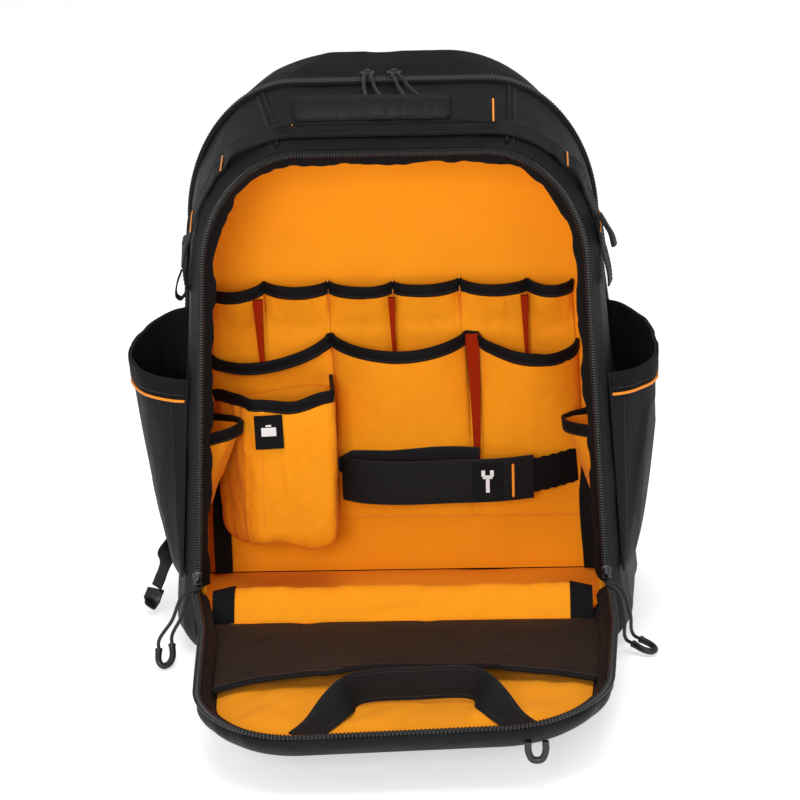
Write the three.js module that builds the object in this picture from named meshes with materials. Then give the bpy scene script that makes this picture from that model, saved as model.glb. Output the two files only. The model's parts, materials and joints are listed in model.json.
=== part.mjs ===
import * as THREE from "three";

// Tool backpack standing open on the floor, in millimetres
// X runs to the right, Y to the rear and Z up. The origin lies on the floor under the body.

// Body: an arched bag between its front opening, its rear zip and its back face
const BODY = { front: -115, zip: 30, back: 104, halfWidth: 188, height: 445, cornerRadius: 25 };
const FRONT_LEAN = 0.04;
const OPENING_FOOT = 58;
const OPENING_SILL = 33;

// Outline of the body from front to back. depth is a share of the body's depth, base, shoulder and
// across are shares of its half width, and top, up and foot are shares of its height.
const OUTLINES = [
  { depth: 0.0, base: 0.867, shoulder: 0.798, across: 0.425, top: 0.897, up: 0.218, foot: 0 },
  { depth: 0.055, base: 0.92, shoulder: 0.83, across: 0.436, top: 0.906, up: 0.225, foot: 0 },
  { depth: 0.16, base: 0.957, shoulder: 0.846, across: 0.441, top: 0.917, up: 0.231, foot: 0 },
  { depth: 0.388, base: 0.979, shoulder: 0.851, across: 0.447, top: 0.939, up: 0.24, foot: 0 },
  { depth: 0.662, base: 1.0, shoulder: 0.856, across: 0.457, top: 0.962, up: 0.245, foot: 0 },
  { depth: 0.776, base: 1.0, shoulder: 0.848, across: 0.53, top: 0.984, up: 0.285, foot: 0 },
  { depth: 0.881, base: 0.989, shoulder: 0.83, across: 0.6, top: 1.0, up: 0.31, foot: 0 },
  { depth: 0.959, base: 0.957, shoulder: 0.782, across: 0.6, top: 0.985, up: 0.31, foot: 0.009 },
  { depth: 1.0, base: 0.894, shoulder: 0.718, across: 0.57, top: 0.951, up: 0.29, foot: 0.036 },
];
const STEPS = { bottom: 2, corner: 3, side: 3, shoulder: 6, crown: 2 };

// Walls and the clearance between pieces that touch
const CLEARANCE = 0.3;
const LOOSE_CLEARANCE = 0.7;
const SHELL_WALL = 3;
const LINING_WALL = 1.5;
const CLOTH = 1.2;
const BINDING = 2.6;
const BINDING_HEIGHT = 10;
const WEBBING = 1.6;
const WEBBING_WIDTH = 25;
const FLOOR_HEIGHT = 28;

// Places across the body and up it are shares of its half width and height
const acrossBody = (share) => share * BODY.halfWidth;
const upBody = (share) => share * BODY.height;

// Divider between the tool compartment and the rear compartment
const DIVIDER = { front: BODY.zip - 15, wall: 3 };

// Two rows of pockets on the divider. left and right are their seams across the body.
const ROW_FOOT = upBody(0.166);
const UPPER_ROW = { low: ROW_FOOT, slackFrom: upBody(0.53), top: upBody(0.6135), depth: 12, sag: 3 };
const UPPER_SEAMS = [-0.793, -0.559, -0.287, -0.013, 0.271, 0.559, 0.75].map(acrossBody);
const LOWER_ROW = { low: ROW_FOOT, top: upBody(0.519), sag: 8 };
const LOWER_POCKETS = [
  { name: "left", left: -0.814, right: -0.287, depth: 12, growth: 16 },
  { name: "centre", left: -0.287, right: 0.287, depth: 25, growth: 1.3 },
  { name: "right", left: 0.335, right: 0.761, depth: 25, growth: 1.3 },
].map((pocket) => ({ ...pocket, left: acrossBody(pocket.left), right: acrossBody(pocket.right) }));

// Box pocket for a battery, in front of the lower left pocket
const BATTERY = {
  frontLeft: acrossBody(-0.628), frontRight: acrossBody(-0.282),
  backLeft: acrossBody(-0.803), backRight: acrossBody(-0.298),
  depth: 60, standOff: 6.8, cornerRadius: 8,
  low: upBody(0.15), rimFront: upBody(0.438), rimBack: upBody(0.452),
};

// Webbing strap across the lower pockets
const TOOL_STRAP = {
  middle: upBody(0.254), width: 36, left: acrossBody(-0.261), right: acrossBody(0.553),
  backGap: 9, depth: 24.3, elasticEnd: acrossBody(0.739), elasticWidth: 28, elasticRise: 4,
};

// Pockets on the inner side walls and outside on the body
const INNER_POCKET = { frontGap: 29, rearGap: 23, low: 50, top: 170, depth: 38 };
const OUTER_POCKET = { rearGap: 2, low: 62, rimFront: 220, rimRear: 250, rimCurve: 2, wall: 2 };
const OUTER_DEPTH = { left: 42, right: 36 };

// Flap: the front panel, swung down and lying forward of the body
const FLAP = { reach: upBody(0.67), cornerReach: 88, floorInset: 15, wall: 7, rimWall: 3, start: 1 };
// Heights along the flap: reach is a share of the flap's reach
const FLAP_HEIGHTS = [
  { reach: 0.0, lining: 32, rim: 53 },
  { reach: 0.3, lining: 38, rim: 54 },
  { reach: 0.6, lining: 42, rim: 54 },
  { reach: 0.85, lining: 42, rim: 51 },
  { reach: 1.0, lining: 39, rim: 46 },
];
const COIL = { width: 6, height: 3.5, flapWidth: 4, overhang: 1 };
const MESH_POCKET = { start: 22, end: 186, rise: 3, slack: 9, wall: 1, sideGap: 3 };
const FLAP_POUCH = {
  start: 24, end: 196, halfWidth: acrossBody(0.649), wall: 2.5, cornerRadius: 40, tuck: 6, edge: 7,
};

// Webbing over the body's shoulders, and the handle on it. front and rear are distances behind the opening.
const LOOP_WEBBING = { front: 17, rear: 42, foot: upBody(0.643) };
const HANDLE = {
  left: acrossBody(-0.4), right: acrossBody(0.24), y: BODY.front + 51, width: 20, thickness: 8, lift: 2,
  tackLeft: acrossBody(0.479), tackRight: acrossBody(0.4255), webbing: 19,
};

// Back pad and shoulder straps
const BACK_PAD = { inset: 15, low: 26, wall: 12, straightWall: 8.4, crownInset: 24 };
const SHOULDER = { width: 62, thickness: 12 };

// Cords of the zip pulls
const PULL = { cordRadius: 1.4, endRadius: 2.6, halfSpread: 6, socket: 0.25, bend: 0.8 };
const SLIDER = { width: 8, thickness: 5, length: 12, lift: 3 };
const REAR_SLIDERS = { left: -17, right: 4 };

// Finishes: colour, roughness and metalness
const FINISHES = {
  black_cloth: { color: 0x17181b, roughness: 0.85, metalness: 0 },
  orange_cloth: { color: 0xf49a1e, roughness: 0.82, metalness: 0 },
  black_binding: { color: 0x0e0e10, roughness: 0.9, metalness: 0 },
  black_webbing: { color: 0x141416, roughness: 0.8, metalness: 0 },
  black_mesh: { color: 0x2a1b14, roughness: 0.9, metalness: 0 },
  black_foam: { color: 0x1b1c1f, roughness: 0.9, metalness: 0 },
  grey_leather: { color: 0x2c2d30, roughness: 0.55, metalness: 0 },
  black_plastic: { color: 0x121214, roughness: 0.45, metalness: 0 },
  black_cord: { color: 0x101012, roughness: 0.75, metalness: 0 },
  zip_metal: { color: 0x3c3e42, roughness: 0.35, metalness: 0.8 },
};

const bag = new THREE.Group();
bag.name = "tool_backpack";

// Adds one named piece to the bag
function addPiece(name, geometry, finish) {
  const piece = new THREE.Mesh(geometry, new THREE.MeshStandardMaterial(FINISHES[finish]));
  piece.name = name;
  piece.material.name = finish;
  bag.add(piece);
}

const lerp = THREE.MathUtils.lerp;
const clamp = THREE.MathUtils.clamp;
const range = (count) => Array.from({ length: count }, (_, i) => i);
const shares = (steps) => range(steps + 1).map((i) => i / steps);
const vector = (point) => new THREE.Vector3(...point);

// Value of one column of a table at a place between its rows
function tableValue(table, key, place, column) {
  const last = table.length - 1;
  const next = table.findIndex((row) => row[key] >= place);
  const upper = clamp(next < 0 ? last : next, 1, last);
  const before = table[upper - 1];
  const after = table[upper];
  const share = clamp((place - before[key]) / (after[key] - before[key]), 0, 1);
  return lerp(before[column], after[column], share);
}

// Closed skin gathered from triangles, which share their corners
class Skin {
  constructor() {
    this.corners = [];
    this.index = [];
    this.known = new Map();
  }

  corner(point) {
    const key = point.map((value) => value.toFixed(4)).join(" ");
    if (!this.known.has(key)) {
      this.known.set(key, this.corners.length);
      this.corners.push(point);
    }
    return this.known.get(key);
  }

  triangle(...points) {
    const ids = points.map((point) => this.corner(point));
    if (new Set(ids).size === points.length) this.index.push(ids);
  }

  quad(a, b, c, d) {
    this.triangle(a, b, c);
    this.triangle(a, c, d);
  }

  // The geometry, turned outward by the sign of its volume
  geometry() {
    const volume = this.index.reduce((sum, ids) => {
      const [a, b, c] = ids.map((id) => vector(this.corners[id]));
      return sum + a.dot(b.cross(c));
    }, 0);
    const faces = volume < 0 ? this.index.map(([a, b, c]) => [a, c, b]) : this.index;
    const geometry = new THREE.BufferGeometry();
    geometry.setAttribute("position", new THREE.Float32BufferAttribute(this.corners.flat(), 3));
    geometry.setIndex(faces.flat());
    geometry.computeVertexNormals();
    return geometry;
  }
}

// Solid between two grids of points that have the same rows and columns
function gridSolid(front, back, wrapped = false) {
  const skin = new Skin();
  const rows = front.length;
  const columns = front[0].length;
  const spans = wrapped ? columns : columns - 1;
  const last = rows - 1;
  for (const c of range(spans)) {
    const d = (c + 1) % columns;
    for (const r of range(last)) {
      skin.quad(front[r][c], front[r][d], front[r + 1][d], front[r + 1][c]);
      skin.quad(back[r][c], back[r + 1][c], back[r + 1][d], back[r][d]);
    }
    skin.quad(front[0][c], back[0][c], back[0][d], front[0][d]);
    skin.quad(front[last][c], front[last][d], back[last][d], back[last][c]);
  }
  for (const r of wrapped ? [] : range(last)) {
    const e = columns - 1;
    skin.quad(front[r][0], front[r + 1][0], back[r + 1][0], back[r][0]);
    skin.quad(front[r][e], back[r][e], back[r + 1][e], front[r + 1][e]);
  }
  return skin.geometry();
}

// Unit normals of a grid of points, from the steps to its neighbours
function gridNormals(grid) {
  const rows = grid.length - 1;
  const columns = grid[0].length - 1;
  return grid.map((row, r) => row.map((_, c) => {
    const right = vector(row[Math.min(c + 1, columns)]).sub(vector(row[Math.max(c - 1, 0)]));
    const up = vector(grid[Math.min(r + 1, rows)][c]).sub(vector(grid[Math.max(r - 1, 0)][c]));
    return right.cross(up).normalize();
  }));
}

// Sheet of even thickness around a grid of middle points
function sheetSolid(middle, thickness) {
  const normals = gridNormals(middle);
  const shifted = (distance) => middle.map((row, r) => row.map((point, c) =>
    vector(point).addScaledVector(normals[r][c], distance).toArray()));
  return gridSolid(shifted(thickness / 2), shifted(-thickness / 2));
}

// Solid through rings of points, closed by a fan at each end
function loftSolid(rings) {
  const mean = (ring, axis) => ring.reduce((sum, point) => sum + point[axis], 0) / ring.length;
  const centre = (ring) => range(3).map((axis) => mean(ring, axis));
  const pole = (ring) => ring.map(() => centre(ring));
  const rows = [pole(rings[0]), ...rings, pole(rings[rings.length - 1])];
  const skin = new Skin();
  for (const r of range(rows.length - 1)) {
    for (const c of range(rings[0].length)) {
      const d = (c + 1) % rings[0].length;
      skin.quad(rows[r][c], rows[r][d], rows[r + 1][d], rows[r + 1][c]);
    }
  }
  return skin.geometry();
}

// Open cup between outer and inner rings, each closed at its last ring
function cupSolid(outer, inner, outerPole, innerPole) {
  const closed = (rings, pole) => [...rings, rings[0].map(() => pole)];
  return gridSolid(closed(outer, outerPole), closed(inner, innerPole), true);
}

// Plain box between two corners
function boxSolid(low, high) {
  const ring = (z) => [
    [low[0], low[1], z], [high[0], low[1], z], [high[0], high[1], z], [low[0], high[1], z],
  ];
  return loftSolid([ring(low[2]), ring(high[2])]);
}

// Points along a smooth curve through given points
function smoothPath(points, steps) {
  return new THREE.CatmullRomCurve3(points.map(vector), false, "centripetal").getPoints(steps);
}

// Bar swept along a path. The section gives [across, out] pairs, and across sets the width's direction.
function sweepSolid(path, across, section) {
  const rings = path.map((point, i) => {
    const ahead = path[Math.min(i + 1, path.length - 1)];
    const behind = path[Math.max(i - 1, 0)];
    const tangent = ahead.clone().sub(behind).normalize();
    const wide = across.clone().addScaledVector(tangent, -across.dot(tangent)).normalize();
    const out = new THREE.Vector3().crossVectors(tangent, wide);
    return section.map(([a, b]) => point.clone().addScaledVector(wide, a).addScaledVector(out, b).toArray());
  });
  return loftSolid(rings);
}

const roundSection = (radius, sides) => range(sides).map((i) => {
  const angle = (2 * Math.PI * i) / sides;
  return [radius * Math.cos(angle), radius * Math.sin(angle)];
});
const flatSection = (width, thickness) => [[-1, -1], [1, -1], [1, 1], [-1, 1]]
  .map(([a, b]) => [(a * width) / 2, (b * thickness) / 2]);
const fuller = (value) => Math.sign(value) * Math.sqrt(Math.abs(value));
const lensSection = (width, thickness, sides) => roundSection(1, sides)
  .map(([a, b]) => [(width / 2) * fuller(a), (thickness / 2) * fuller(b)]);

const ACROSS_X = new THREE.Vector3(1, 0, 0);
const ACROSS_Y = new THREE.Vector3(0, 1, 0);
const ACROSS_Z = new THREE.Vector3(0, 0, 1);

// Round cord through given points
function cordSolid(points, radius, steps, across = ACROSS_X) {
  return sweepSolid(smoothPath(points, steps), across, roundSection(radius, 6));
}

// Measures of the body's outline at one depth
function outlineAt(y) {
  const depth = (y - BODY.front) / (BODY.back - BODY.front);
  const value = (column) => tableValue(OUTLINES, "depth", depth, column);
  return {
    base: value("base") * BODY.halfWidth,
    shoulder: value("shoulder") * BODY.halfWidth,
    across: value("across") * BODY.halfWidth,
    top: value("top") * BODY.height,
    up: value("up") * BODY.height,
    foot: value("foot") * BODY.height,
  };
}

// The front of the body leans back a little, and the lean fades out towards the rear zip
function leaned(x, y, z) {
  const fade = clamp((BODY.zip - y) / (BODY.zip - BODY.front), 0, 1);
  return [x, y + FRONT_LEAN * z * fade, z];
}

// Half width of the body's outer face at a height
function sideAt(y, z) {
  const { base, shoulder, across, top, up } = outlineAt(y);
  const share = (z - BODY.cornerRadius) / (top - up - BODY.cornerRadius);
  if (share <= 1) return lerp(base, shoulder, Math.max(share, 0));
  const rise = clamp((z - (top - up)) / up, 0, 1);
  return shoulder - across + across * Math.sqrt(1 - rise * rise);
}

// Right half of the outline as [x, z] pairs from the bottom's middle to the top's middle
function halfOutline(y, inset) {
  const { base, shoulder, across, top, up, foot } = outlineAt(y);
  const radius = BODY.cornerRadius;
  const cornerX = base - radius;
  const turn = (i, steps) => (Math.PI / 2) * (i / steps);
  const bottom = range(STEPS.bottom).map((i) => [(cornerX * i) / STEPS.bottom, foot + inset]);
  const corner = range(STEPS.corner).map((i) => {
    const angle = turn(i, STEPS.corner);
    return [cornerX + (radius - inset) * Math.sin(angle), foot + radius - (radius - inset) * Math.cos(angle)];
  });
  const side = range(STEPS.side).map((i) => {
    const share = i / STEPS.side;
    return [lerp(base, shoulder, share) - inset, lerp(foot + radius, top - up, share)];
  });
  const arch = range(STEPS.shoulder).map((i) => {
    const angle = turn(i, STEPS.shoulder);
    return [
      shoulder - across + (across - inset) * Math.cos(angle),
      top - up + (up - inset) * Math.sin(angle),
    ];
  });
  const crown = range(STEPS.crown + 1).map((i) => [(shoulder - across) * (1 - i / STEPS.crown), top - inset]);
  return [...bottom, ...corner, ...side, ...arch, ...crown];
}

// Whole outline as a closed ring of points
function outlineRing(y, inset) {
  const half = halfOutline(y, inset);
  const mirrored = half.slice(1, -1).reverse().map(([x, z]) => [-x, z]);
  return [...half, ...mirrored].map(([x, z]) => leaned(x, y, z));
}

// Part of the outline above a foot height, from its left foot over the top to its right foot
function archPath(y, inset, foot) {
  const start = STEPS.bottom + STEPS.corner;
  const fullHalf = halfOutline(y, inset);
  const shoulderZ = fullHalf[start + STEPS.side][1];
  const side = range(STEPS.side).map((i) => {
    const z = lerp(foot, shoulderZ, i / STEPS.side);
    return [sideAt(y, z) - inset, z];
  });
  const half = [...side, ...fullHalf.slice(start + STEPS.side)];
  const mirrored = half.slice(0, -1).map(([x, z]) => [-x, z]);
  return [...mirrored, ...half.reverse()].map(([x, z]) => leaned(x, y, z));
}

// Bar with a section of [y, inset] corners that follows the arch between two feet
function archSolid(section, foot) {
  const paths = section.map(([y, inset]) => archPath(y, inset, foot));
  return loftSolid(paths[0].map((_, i) => paths.map((path) => path[i])));
}

// Closed band of cloth between two insets over a run of depths
function bandSolid(depths, outerInset, innerInset) {
  return gridSolid(
    depths.map((y) => outlineRing(y, outerInset(y))),
    depths.map((y) => outlineRing(y, innerInset(y))),
    true,
  );
}

// Depth of a body outline row
const depthOf = (row) => lerp(BODY.front, BODY.back, OUTLINES[row].depth);

// Body shell, from the opening to the rear zip
const SHELL_DEPTHS = [...range(4).map(depthOf), -5, BODY.zip];
addPiece("body_shell", bandSolid(SHELL_DEPTHS, () => 0, () => SHELL_WALL), "black_cloth");

// Rear shell, an open cup whose back wall closes the bag
function rearRings(inset) {
  const depths = [BODY.zip + CLEARANCE, ...[5, 6, 7].map(depthOf), BODY.back - inset];
  const rings = depths.map((y) => outlineRing(y, inset));
  const rim = rings[rings.length - 1];
  const middle = BODY.height / 2;
  const shrunk = (share) => rim.map(([x, y, z]) => [x * share, y, lerp(middle, z, share)]);
  return [...rings, shrunk(2 / 3), shrunk(1 / 3)];
}
const rearPole = (inset) => [0, BODY.back - inset, BODY.height / 2];
addPiece("rear_shell",
  cupSolid(rearRings(0), rearRings(SHELL_WALL), rearPole(0), rearPole(SHELL_WALL)), "black_cloth");

// Lining of the side walls, which flares inward to the tape at the opening
const LINING_INSET = SHELL_WALL + CLEARANCE;
const TAPE_REACH = 14;
const TAPE_BACK = 8;
const LINING_FLARE = [
  { y: BODY.front + TAPE_BACK + 1.5, inset: TAPE_REACH - LINING_WALL },
  { y: BODY.front + 20, inset: TAPE_REACH / 2 },
  { y: BODY.front + 35, inset: LINING_INSET },
  { y: DIVIDER.front, inset: LINING_INSET },
];
const liningInset = (y) => tableValue(LINING_FLARE, "y", y, "inset");
const LINING_DEPTHS = [...LINING_FLARE.map((row) => row.y), depthOf(3)].sort((a, b) => a - b);
addPiece("side_lining",
  bandSolid(LINING_DEPTHS, liningInset, (y) => liningInset(y) + LINING_WALL), "orange_cloth");

// Inner face of the lining at a depth and height
const INNER_INSET = LINING_INSET + LINING_WALL;
const innerSideAt = (y, z) => sideAt(y, z) - liningInset(y) - LINING_WALL;

// Stiff floor inside the body
function floorRing(y) {
  const inset = INNER_INSET + CLEARANCE;
  const half = halfOutline(y, inset).filter(([, z]) => z < FLOOR_HEIGHT - 1);
  const edge = [sideAt(y, FLOOR_HEIGHT) - inset, FLOOR_HEIGHT];
  const right = [...half, edge];
  const left = right.slice(1).reverse().map(([x, z]) => [-x, z]);
  return [...right, ...left].map(([x, z]) => [x, y, z]);
}
const FLOOR_FRONT = BODY.front + 36;
addPiece("floor_board", loftSolid([FLOOR_FRONT, DIVIDER.front].map(floorRing)), "orange_cloth");

// Divider panel, whose face carries the pockets
const FLOOR_SEAM = FLOOR_HEIGHT + CLEARANCE;
const dividerInset = INNER_INSET + CLEARANCE;
const dividerRing = (y) => archPath(DIVIDER.front, dividerInset, FLOOR_SEAM)
  .map(([x, , z]) => [x, y + CLEARANCE, z]);
addPiece("divider_panel",
  loftSolid([DIVIDER.front, DIVIDER.front + DIVIDER.wall].map(dividerRing)), "orange_cloth");

// Panel that closes the body's front below the sill
function hingeRing(y) {
  const half = halfOutline(BODY.front, LINING_INSET).filter(([, z]) => z < OPENING_SILL - SHELL_WALL);
  const left = half.slice(1).reverse().map(([x, z]) => [-x, z]);
  return [...half, ...left].map(([x, z]) => [x, y, z]);
}
const HINGE_FRONT = BODY.front - CLEARANCE;
addPiece("hinge_panel", loftSolid([HINGE_FRONT, HINGE_FRONT + SHELL_WALL].map(hingeRing)), "black_cloth");

// Padded roll along the sill
const SILL_ROLL = [
  [20, 0], [18, 14], [11, 23], [3, 28], [-5, 26], [-13, 17.5], [-20, 6.5], [-19, 5.4], [-1.5, 5.4], [2, 0],
];
const SILL_HALF_WIDTH = 131;
const sillRing = (x) => SILL_ROLL.map(([y, z]) => [
  x, BODY.front + y, Math.max(FLOOR_SEAM + z, y < 2 ? OPENING_SILL + LOOSE_CLEARANCE : 0),
]);
addPiece("sill_roll",
  loftSolid([-SILL_HALF_WIDTH, SILL_HALF_WIDTH].map(sillRing)), "orange_cloth");

// Tape and zip coil around the opening
const TAPE_WALL = 2;
const tapeFront = BODY.front - CLEARANCE - TAPE_WALL;
addPiece("opening_tape", archSolid([
  [tapeFront, 0], [tapeFront, 4], [tapeFront + TAPE_BACK, TAPE_REACH + 1],
  [BODY.front - CLEARANCE + TAPE_BACK, TAPE_REACH], [BODY.front - CLEARANCE, 3], [BODY.front - CLEARANCE, 0],
], OPENING_FOOT), "black_binding");
const coilBack = tapeFront - CLEARANCE;
addPiece("body_zip_coil", archSolid([
  [coilBack - COIL.height, 0], [coilBack - COIL.height, COIL.width], [coilBack, COIL.width], [coilBack, 0],
], OPENING_FOOT), "black_plastic");

// Zip between the body and the rear shell
const REAR_ZIP = { halfWidth: 8, wall: 2, foot: 70 };
addPiece("rear_zip", archSolid([
  [BODY.zip - REAR_ZIP.halfWidth, -CLEARANCE], [BODY.zip + REAR_ZIP.halfWidth, -CLEARANCE - 1],
  [BODY.zip + REAR_ZIP.halfWidth, -CLEARANCE - REAR_ZIP.wall], [BODY.zip, -CLEARANCE - 1 - REAR_ZIP.wall],
  [BODY.zip - REAR_ZIP.halfWidth, -CLEARANCE - REAR_ZIP.wall / 2],
], REAR_ZIP.foot), "black_binding");

// Slack of a pocket's front, from none at its seams to the full depth in the middle
const FULLNESS = 0.6;
const slackAcross = (share) => Math.sin(Math.PI * clamp(share, 0, 1)) ** FULLNESS || 0;

// Pockets of the upper row
const UPPER_FACE = DIVIDER.front;
const clothEnd = (top) => top - BINDING_HEIGHT - CLEARANCE;
const riseOver = (low, high) => (z) => clamp((z - low) / (high - low), 0, 1);
const upperRise = riseOver(UPPER_ROW.slackFrom, clothEnd(UPPER_ROW.top));
const UPPER_LEVELS = [UPPER_ROW.low, ...shares(3).map((share) =>
  lerp(UPPER_ROW.slackFrom, clothEnd(UPPER_ROW.top), share))];
const POCKET_STEPS = 6;
range(UPPER_SEAMS.length - 1).forEach((i) => {
  const left = UPPER_SEAMS[i] + CLEARANCE / 2;
  const right = UPPER_SEAMS[i + 1] - CLEARANCE / 2;
  const at = (share, z, wall) => {
    const fullness = upperRise(z) * slackAcross(share);
    return [
      lerp(left, right, share),
      UPPER_FACE - wall - UPPER_ROW.depth * fullness,
      z - UPPER_ROW.sag * fullness,
    ];
  };
  const grid = (wall) => UPPER_LEVELS.map((z) => shares(POCKET_STEPS).map((share) => at(share, z, wall)));
  addPiece(`upper_pocket_${i + 1}`, gridSolid(grid(CLOTH), grid(0)), "orange_cloth");
});

// Pockets of the lower row, one cloth further forward
const LOWER_FACE = UPPER_FACE - CLOTH - CLEARANCE;
const lowerRise = riseOver(LOWER_ROW.low, clothEnd(LOWER_ROW.top));
for (const pocket of LOWER_POCKETS) {
  const left = pocket.left + CLEARANCE / 2;
  const right = pocket.right - CLEARANCE / 2;
  const levels = shares(6).map((share) => lerp(LOWER_ROW.low, clothEnd(LOWER_ROW.top), share));
  const at = (share, z, wall) => {
    const fullness = lowerRise(z) ** pocket.growth * slackAcross(share);
    return [
      lerp(left, right, share),
      LOWER_FACE - wall - pocket.depth * fullness,
      z - LOWER_ROW.sag * fullness,
    ];
  };
  const grid = (wall) => levels.map((z) => shares(8).map((share) => at(share, z, wall)));
  addPiece(`lower_pocket_${pocket.name}`, gridSolid(grid(CLOTH), grid(0)), "orange_cloth");
}

// Binding along the top of a row, from its spans of { left, right, slack }
function rowBinding(name, spans, face, { top, sag }) {
  const columns = spans.flatMap(({ left, right, slack }) => shares(POCKET_STEPS).map((share) =>
    [lerp(left, right, share), slack * slackAcross(share), slackAcross(share)]));
  const kept = columns.filter(([x], i) => i === 0 || x - columns[i - 1][0] > CLEARANCE);
  const grid = (wall) => [top - BINDING_HEIGHT, top].map((z) =>
    kept.map(([x, slack, share]) => [x, face - wall - slack, z - sag * share]));
  addPiece(name, gridSolid(grid(BINDING), grid(0)), "black_binding");
}
rowBinding("upper_binding", range(UPPER_SEAMS.length - 1).map((i) => ({
  left: UPPER_SEAMS[i], right: UPPER_SEAMS[i + 1], slack: UPPER_ROW.depth,
})), UPPER_FACE, UPPER_ROW);
rowBinding("lower_binding", LOWER_POCKETS.map(({ left, right, depth }) => ({ left, right, slack: depth })),
  LOWER_FACE, LOWER_ROW);

// Corners of a plan outline moved inward by a distance
function insetCorners(corners, distance) {
  return corners.map((corner, i) => {
    const before = corners[(i + corners.length - 1) % corners.length];
    const after = corners[(i + 1) % corners.length];
    const edge = (a, b) => new THREE.Vector2(b[0] - a[0], b[1] - a[1]).normalize();
    const [first, second] = [edge(before, corner), edge(corner, after)];
    const inward = new THREE.Vector2(-first.y - second.y, first.x + second.x).normalize();
    const reach = distance / Math.max(inward.dot(new THREE.Vector2(-first.y, first.x)), 0.2);
    return [corner[0] + inward.x * reach, corner[1] + inward.y * reach];
  });
}

// Plan outline with rounded corners, as [x, y] pairs
function roundedOutline(corners, radius, steps) {
  return corners.flatMap((corner, i) => {
    const towards = (other) => {
      const length = Math.hypot(other[0] - corner[0], other[1] - corner[1]);
      return [0, 1].map((axis) => lerp(corner[axis], other[axis], Math.min(radius / length, 1 / 2)));
    };
    const start = towards(corners[(i + corners.length - 1) % corners.length]);
    const end = towards(corners[(i + 1) % corners.length]);
    return shares(steps).map((share) => [0, 1].map((axis) =>
      lerp(lerp(start[axis], corner[axis], share), lerp(corner[axis], end[axis], share), share)));
  });
}

// Battery pocket, a cloth cup with a sloping rim
const BATTERY_BACK = LOWER_FACE - BATTERY.standOff;
const BATTERY_FRONT = DIVIDER.front - BATTERY.depth;
const BATTERY_CORNERS = [
  [BATTERY.frontLeft, BATTERY_FRONT], [BATTERY.frontRight, BATTERY_FRONT],
  [BATTERY.backRight, BATTERY_BACK], [BATTERY.backLeft, BATTERY_BACK],
];
const batteryRim = (y) =>
  lerp(BATTERY.rimFront, BATTERY.rimBack, (y - BATTERY_FRONT) / (BATTERY_BACK - BATTERY_FRONT));
const BATTERY_LEVELS = [
  { height: 1, width: 1 }, { height: 0.5, width: 1 }, { height: 0.12, width: 0.97 },
  { height: 0, width: 0.86 },
];
const BATTERY_MIDDLE = lerp(BATTERY.frontLeft, BATTERY.frontRight, 1 / 2);
function batteryRings(inset, rimDrop) {
  const outline = roundedOutline(insetCorners(BATTERY_CORNERS, inset), BATTERY.cornerRadius, 2);
  const low = BATTERY.low + inset;
  return BATTERY_LEVELS.map(({ height, width }) => outline.map(([x, y]) => [
    lerp(BATTERY_MIDDLE, x, width),
    lerp(BATTERY_BACK - inset, y, width),
    lerp(low, batteryRim(y) - rimDrop, height),
  ]));
}
const batteryPole = (inset) => [
  BATTERY_MIDDLE, lerp(BATTERY_FRONT, BATTERY_BACK, 1 / 2), BATTERY.low + inset,
];
const rimDrop = BINDING_HEIGHT + CLEARANCE;
addPiece("battery_pocket", cupSolid(
  batteryRings(0, rimDrop), batteryRings(CLOTH, rimDrop), batteryPole(0), batteryPole(CLOTH),
), "orange_cloth");
const overhang = (BINDING - CLOTH) / 2;
const batteryHem = (inset) => [BINDING_HEIGHT, 0].map((drop) =>
  roundedOutline(insetCorners(BATTERY_CORNERS, inset), BATTERY.cornerRadius, 2)
    .map(([x, y]) => [x, y, batteryRim(y) - drop]));
addPiece("battery_binding",
  gridSolid(batteryHem(-overhang), batteryHem(CLOTH + overhang), true), "black_binding");

// Tool strap: a back layer on the pockets, a fold at the left and a front layer with a free end.
// along is a share from its left fold to its right end, and out a share of its depth.
const strapBack = LOWER_FACE - CLOTH - TOOL_STRAP.backGap;
const STRAP_STATIONS = [
  { along: 0.712, out: 0 }, { along: 0.32, out: 0 }, { along: 0.092, out: 0.041 }, { along: 0, out: 0.288 },
  { along: 0.033, out: 0.576 }, { along: 0.229, out: 1 }, { along: 0.582, out: 1 },
  { along: 0.843, out: 0.959 }, { along: 1, out: 0.671 },
];
addPiece("tool_strap", sweepSolid(smoothPath(STRAP_STATIONS.map(({ along, out }) => [
  lerp(TOOL_STRAP.left, TOOL_STRAP.right, along), strapBack - TOOL_STRAP.depth * out, TOOL_STRAP.middle,
]), 26), ACROSS_Z, flatSection(TOOL_STRAP.width, WEBBING)), "black_webbing");

// Elastic from the strap's end to the divider. along is a share of its way, and out of its depth.
const elasticSeat = LOWER_FACE - CLOTH - TOOL_STRAP.backGap / 3;
const ELASTIC_STATIONS = [
  { along: -0.229, out: 0.703, rise: 0 }, { along: 0.4, out: 0.439, rise: 0.5 },
  { along: 1, out: 0, rise: 1 },
];
addPiece("strap_elastic", sweepSolid(smoothPath(ELASTIC_STATIONS.map(({ along, out, rise }) => [
  lerp(TOOL_STRAP.right, TOOL_STRAP.elasticEnd, along),
  lerp(elasticSeat, strapBack - TOOL_STRAP.depth, out),
  TOOL_STRAP.middle + TOOL_STRAP.elasticRise * rise,
]), 6), ACROSS_Z, flatSection(TOOL_STRAP.elasticWidth, WEBBING)), "black_binding");

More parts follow.
